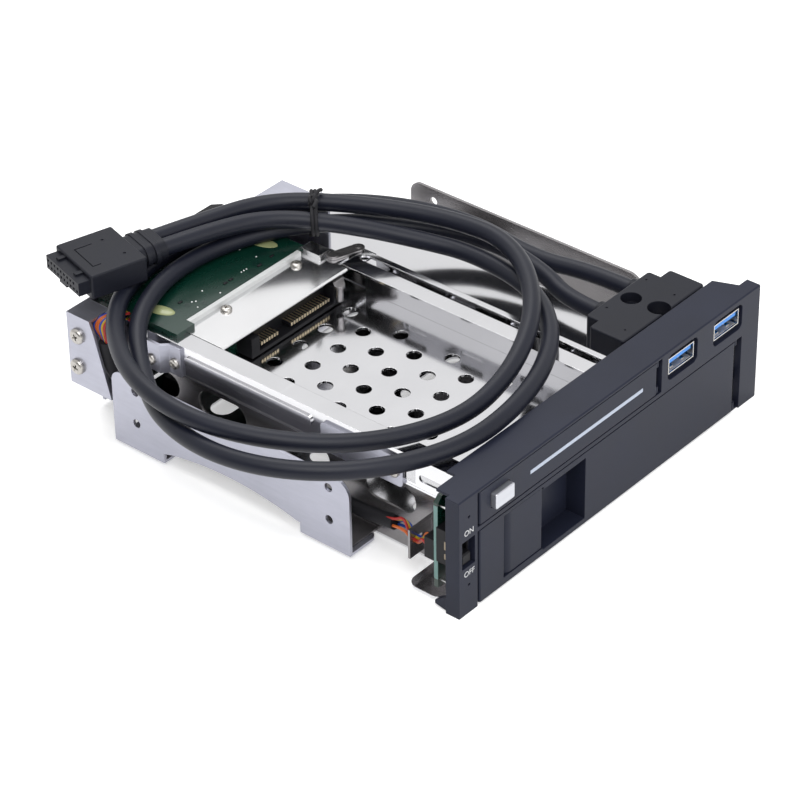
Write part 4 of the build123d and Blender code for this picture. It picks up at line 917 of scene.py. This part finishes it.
class CageSheets:
    """Brackets, trays, covers and rails of the cage, with their screws."""

    screws = (
        PanScrew("cover_screws", ((-39.3, 122.2, 40.3), (-6.2, 122.4, 40.3)), UP, 1.9, 1.1, 1.25, 6.3),
        PanScrew("rear_cover_screws", ((-73.0, 154.2, 34.7), (-73.0, 155.0, 23.0)), LEFT, 2.7, 1.5, 1.5, 3.0),
        PanScrew("joggle_screws", ((-64.0, 121.5, 33.5), (-66.2, 129.5, 33.0)), LEFT, 1.9, 1.1, 0.8, 1.8),
        PanScrew("link_plate_screw", ((-64.0, 33.1, 32.8),), LEFT, 1.9, 1.1, 0.8, 1.8),
    )

    def build(self) -> None:
        """Dress every sheet and set the screws."""
        dress(["left_bracket", "rear_cover", "joggle_bracket", "link_plate"], Finishes.plated)
        # These parts take the darker sheet, whose colour is painted shade and painted dark reflection.
        dress(["right_bracket", "left_cage_wall", "right_cage_wall", "upper_eject_lever"], Finishes.shaded)
        dress(["tray_floor", "board_tab", "lower_cage", "left_rail", "right_rail", "right_top_plate",
               "upper_eject_bar", "lower_eject_bar"], Finishes.polished)
        dress(["upper_cover_plate"], Finishes.plate)
        dress(["bracket_rivets", "cover_standoffs", "lower_eject_lever", "lower_eject_pivot"], Finishes.screw)
        for screw in self.screws:
            screw.build()


@dataclass
class Front:
    """Bezel, doors, button, light bar, switch and USB sockets, sizes in millimetres.

    A mark is a word with its middle and its feet on the bezel's face. The spring, stop and floor of a port
    are boxes from the port's middle and from the level of its shell or tongue.
    """

    mark_size: float = 2.75
    mark_thick: float = 0.06
    marks: Tuple[Tuple[str, float, float], ...] = (("ON", -69.9, 28.7), ("OFF", -69.8, 13.9))
    ports: Tuple[float, float] = (33.9, 57.5)
    port_z: float = 35.5
    shell_low: float = 33.0
    spring_aside: float = 2.9
    spring: Box = ((-0.9, 2.0, -0.02), (0.9, 6.0, 0.45))
    stop: Box = ((-0.5, 1.6, -0.2), (0.5, 2.4, 0.5))
    floor: Box = ((-5.6, 1.2, -0.02), (5.6, 5.0, 0.08))
    block_screw: PanScrew = PanScrew("block_screw", ((44.1, 16.8, 35.0),), UP, 2.7, 2.0, 1.4, 5.8)

    def build(self) -> None:
        """Dress the front's pieces and add the small ones."""
        dress(["bezel", "upper_door", "lower_door", "latch_handle"], Finishes.bezel)
        dress(["usb_block"], Finishes.housing)
        dress(["switch_body", "switch_knob", "upper_sata_connector", "lower_sata_connector",
               "rear_data_sockets", "rear_power_socket", "board_connector"], Finishes.black)
        dress(["insulator_strip"], Finishes.tape)
        dress(["eject_button"], Finishes.button)
        dress(["light_bar"], Finishes.bar)
        dress(["upper_hinge_pin", "lower_hinge_pin", "latch_pin"], Finishes.screw)
        dress(["usb_shells"], Finishes.bright)
        dress(["usb_tongues"], Finishes.blue)
        for text, x, low in self.marks:
            self.mark(text, x, low)
        self.port_springs()
        self.block_screw.build(Finishes.satin)

    def mark(self, text: str, x: float, low: float) -> None:
        """Print a word on the bezel's face, centred on x with its feet at a height."""
        curve = bpy.data.curves.new(text, "FONT")
        curve.body = text
        curve.size = self.mark_size * MM
        curve.extrude = self.mark_thick / 2 * MM
        curve.align_x = "CENTER"
        letters = put(text, curve)
        shape = bmesh.new()
        outline = bpy.data.meshes.new_from_object(letters)
        shape.from_mesh(outline)
        bpy.data.meshes.remove(outline)
        bpy.data.objects.remove(letters)
        upright = Matrix.Translation(place(x, 0.0, low)) @ Matrix.Rotation(pi / 2, 4, "X")
        bmesh.ops.transform(shape, matrix=upright, verts=shape.verts)
        add_mesh("mark_" + text.lower(), shape, Finishes.ink, "cage", smooth=False)

    def port_springs(self) -> None:
        """Add the two sprung tabs on the floor of each port and the small stop under its tongue."""
        shape = bmesh.new()
        floor = bmesh.new()
        for port in self.ports:
            for side in (-self.spring_aside, self.spring_aside):
                add_box_at(shape, self.spring, port + side, self.shell_low)
            add_box_at(shape, self.stop, port, self.port_z)
            add_box_at(floor, self.floor, port, self.shell_low)
        soften(shape, 0.15, 2)
        add_mesh("port_springs", shape, Finishes.bright, "cage")
        add_mesh("port_floors", floor, Finishes.satin, "cage", smooth=False)


@dataclass
class Boards:
    """Circuit boards with what stands on them, sizes in millimetres.

    A tongue has its left and right end and its number of contacts. A blob has its x, its place behind the
    bezel's face and its radii. Dots and chips have their x and their place behind the face.
    """

    top: float = 41.9
    tongues: Tuple[Tuple[float, float, int], ...] = ((-39.2, -30.8, 7), (-25.2, -6.5, 15))
    tongue_front: float = 108.3
    tongue_low: float = 32.6
    tongue_high: float = 33.8
    contact_share: float = 0.3
    contact_reach: Tuple[float, float] = (0.12, 3.8)
    contact_rise: Tuple[float, float] = (0.1, 0.12)
    blobs: Tuple[Tuple[float, ...], ...] = ((-54.0, 136.2, 2.4, 4.9, 0.7), (-4.8, 138.0, 2.4, 5.4, 0.3))
    blob_turn: float = 0.25
    dots: Tuple[Tuple[float, float], ...] = (
        (-12.5, 140.9), (-12.2, 134.0), (-43.4, 131.2), (-44.5, 131.9), (-45.5, 128.5),
        (-37.8, 133.7), (-35.0, 128.6), (-22.0, 131.5), (-20.8, 131.5), (-19.6, 131.5),
    )
    dot_radii: Point = (0.36, 0.36, 0.22)
    chips: Tuple[Tuple[float, float], ...] = (
        (-30.0, 131.0), (-27.4, 131.0), (-15.5, 129.6), (-9.0, 130.2), (-47.0, 134.5),
    )
    chip_half: Tuple[float, float] = (0.8, 0.4)
    chip_rise: Tuple[float, float] = (0.05, 0.3)
    strip: Tuple[Box, ...] = (
        ((-72.95, 5.4, 18.2), (-72.75, 6.9, 20.0)), ((-72.95, 5.4, 21.6), (-72.75, 6.9, 24.4)),
    )
    pin_levels: Tuple[float, float] = (8.0, 34.8)
    pin: Box = ((-71.3, 6.6, 0.0), (-70.8, 10.0, 0.5))
    edge_thick: float = 0.04
    edge_out: float = 0.01
    edge_short: Tuple[float, float] = (0.1, 6.0)

    def build(self) -> None:
        """Dress the boards and add their small parts."""
        dress(["upper_backplane", "riser_board", "lower_backplane", "front_board"], Finishes.board)
        self.contacts()
        self.glue()
        self.solder()
        self.front_parts()

    def contacts(self) -> None:
        """Lay the contact strips over the two tongues of the upper drive connector."""
        shape = bmesh.new()
        for left, right, count in self.tongues:
            pitch = (right - left) / count
            for number in range(count):
                middle = left + pitch * (number + 0.5)
                half = self.contact_share * pitch
                low = (middle - half, self.tongue_front - self.contact_reach[0],
                       self.tongue_low + self.contact_rise[0])
                high = (middle + half, self.tongue_front + self.contact_reach[1],
                        self.tongue_high + self.contact_rise[1])
                add_box(shape, low, high)
        soften(shape, 0.05, 1)
        add_mesh("sata_contacts", shape, Finishes.gold, "cage")

    def glue(self) -> None:
        """Drop two flat blobs of glue on the board."""
        shape = bmesh.new()
        for x, behind, *radii in self.blobs:
            turn = Matrix.Rotation(self.blob_turn, 4, "Z")
            add_ball(shape, Matrix.Translation(place(x, behind, self.top)) @ turn, radii, 32)
        add_mesh("glue_blobs", shape, Finishes.glue, "cage")

    def solder(self) -> None:
        """Add solder dots and small parts on the board's top."""
        dots = bmesh.new()
        for x, behind in self.dots:
            add_ball(dots, Matrix.Translation(place(x, behind, self.top)), self.dot_radii, 16)
        add_mesh("solder_dots", dots, Finishes.solder, "cage")
        chips = bmesh.new()
        across, along = self.chip_half
        for x, behind in self.chips:
            add_box(chips, (x - across, behind - along, self.top - self.chip_rise[0]),
                    (x + across, behind + along, self.top + self.chip_rise[1]))
        soften(chips, 0.06, 2)
        add_mesh("board_chips", chips, Finishes.black, "cage")

    def front_parts(self) -> None:
        """Add the phenolic strip and the pins between the upright front board and the bezel."""
        strip = bmesh.new()
        for low, high in self.strip:
            add_box(strip, low, high)
        add_mesh("switch_strip", strip, Finishes.cream, "cage", smooth=False)
        pins = bmesh.new()
        for level in self.pin_levels:
            add_box_at(pins, self.pin, 0.0, level)
        soften(pins, 0.1, 2)
        add_mesh("board_pins", pins, Finishes.solder, "cage")
        self.laminate()

    def laminate(self) -> None:
        """Face the upright board's outer edge, where the bare laminate shows."""
        low, high = (Vector(corner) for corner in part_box("front_board"))
        edge = bmesh.new()
        extent = Matrix.Diagonal((self.edge_thick * MM, high.y - low.y - self.edge_short[0] * MM,
                                  high.z - low.z - self.edge_short[1] * MM, 1.0))
        middle = Vector((low.x - self.edge_out * MM, (low.y + high.y) / 2, (low.z + high.z) / 2))
        bmesh.ops.create_cube(edge, size=1.0, matrix=Matrix.Translation(middle) @ extent)
        add_mesh("board_edge", edge, Finishes.laminate, "cage", smooth=False)


@dataclass(frozen=True)
class Lead:
    """One insulated wire at both ends of the sleeve, sizes in millimetres.

    It leaves the sleeve aside of its middle and at a height, arches, passes the sheet's notch and ends at
    the board; notch and board are how far it lies aside there, and its height.
    """

    name: str
    colour: Colour
    aside: float
    start_z: float
    arch_z: float
    notch: Tuple[float, float]
    board: Tuple[float, float]


@dataclass
class Harness:
    """Coloured wires to the front board, their sleeve and a few at the rear, in millimetres."""

    radius: float = 0.45
    sides: int = 4
    spacing: float = 0.95
    sleeve_radius: float = 2.3
    sleeve: Tuple[Point, ...] = (
        (-65.0, 32.2, 15.0), (-64.7, 42.0, 13.6), (-64.5, 52.0, 12.9), (-66.0, 80.0, 11.2),
        (-66.3, 112.0, 12.0), (-68.5, 134.0, 17.0), (-69.3, 145.5, 25.0), (-69.3, 145.5, 34.5),
    )
    stub_first: float = 137.0
    stub_spacing: float = 1.1
    leads: Tuple[Lead, ...] = (
        Lead("red", (0.42, 0.02, 0.015), -0.9, 16.6, 19.8, (-1.5, 13.2), (-1.6, 17.2)),
        Lead("yellow", (0.55, 0.36, 0.02), 0.2, 16.0, 18.3, (-0.5, 13.3), (0.5, 17.0)),
        Lead("blue", (0.02, 0.07, 0.42), 1.2, 15.2, 17.0, (0.6, 13.2), (-0.5, 15.9)),
        Lead("orange", (0.62, 0.13, 0.02), -1.2, 14.6, 15.4, (-1.1, 12.4), (1.5, 17.6)),
        Lead("orange_low", (0.62, 0.13, 0.02), 0.1, 13.6, 13.6, (0.0, 12.4), (0.6, 18.4)),
        Lead("blue_low", (0.02, 0.07, 0.42), 1.2, 13.9, 14.4, (1.1, 12.4), (1.6, 15.2)),
    )

    def build(self) -> None:
        """Draw the sleeve and all wires."""
        cover = add_curve("sleeve", [place(*point) for point in self.sleeve], self.sleeve_radius * MM,
                          Finishes.string)
        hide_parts("harness_sleeve")
        for number, lead in enumerate(self.leads):
            self.lead(number, lead)
        self.stubs()

    def wire(self, name: str, colour: Colour, shown: str, route: Sequence[Point]) -> bpy.types.Object:
        """Draw one wire in a named colour."""
        finish = Glazed(shown + " wire", colour, roughness=0.35, lumps=1.0, depth=0.01)
        return add_curve(name, [place(*point) for point in route], self.radius * MM, finish,
                         self.sides)

    def lead(self, number: int, lead: Lead) -> None:
        """Draw both ends of one wire, along routes chosen from the photo."""
        front = [
            (-65.0 + lead.aside, 36.0, lead.start_z - 0.6), (-65.0 + lead.aside, 32.0, lead.start_z),
            (-65.2 + lead.aside, 27.8, lead.arch_z), (-64.9 + lead.notch[0], 25.4, lead.notch[1] + 0.6),
            (-64.5 + lead.notch[0], 24.0, lead.notch[1]), (-65.6 + lead.notch[0], 21.4, lead.notch[1] + 1.0),
            (-67.4 + lead.board[0], 18.6, lead.board[1] + 0.7), (-68.1 + lead.board[0], 16.4, lead.board[1]),
            (-68.1 + lead.board[0], 14.0, lead.board[1]),
        ]
        shift = (number - (len(self.leads) - 1) / 2) * self.spacing
        rear = [
            (-69.3 + 0.3 * shift, 145.5 + 0.5 * shift, 33.0), (-69.9, 147.0 + 0.7 * shift, 36.6),
            (-70.3, 147.6 + shift, 40.6 - 0.3 * number), (-68.4, 146.6 + shift, 42.8 - 0.3 * number),
            (-64.4, 145.6 + shift, 42.6 - 0.2 * number), (-60.6, 145.5 + shift, 41.4),
        ]
        for end, route in (("front", front), ("rear", rear)):
            piece = self.wire(f"wire_{lead.name}_{end}", lead.colour, lead.name.split("_")[0], route)
            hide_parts("harness_wires")

    def stubs(self) -> None:
        """Draw three short wires that rise beside the board's right edge."""
        for number, colour in enumerate(("red", "blue", "yellow")):
            behind = self.stub_first + self.stub_spacing * number
            lead = next(item for item in self.leads if item.name == colour)
            route = [(2.9, behind, 34.0), (2.9, behind, 39.6), (2.8, behind, 42.3), (1.4, behind, 42.5),
                     (0.6, behind, 41.9)]
            self.wire("stub_" + colour, lead.colour, colour, route)


def main() -> None:
    """Build the studio and dress every sub-assembly."""
    logging.basicConfig(level=logging.INFO, format="%(message)s")
    for part in (Studio(), UsbCables(), CageSheets(), Front(), Boards(), Harness()):
        part.build()
        log.info("built %s", type(part).__name__)


if __name__ == "__main__":
    main()
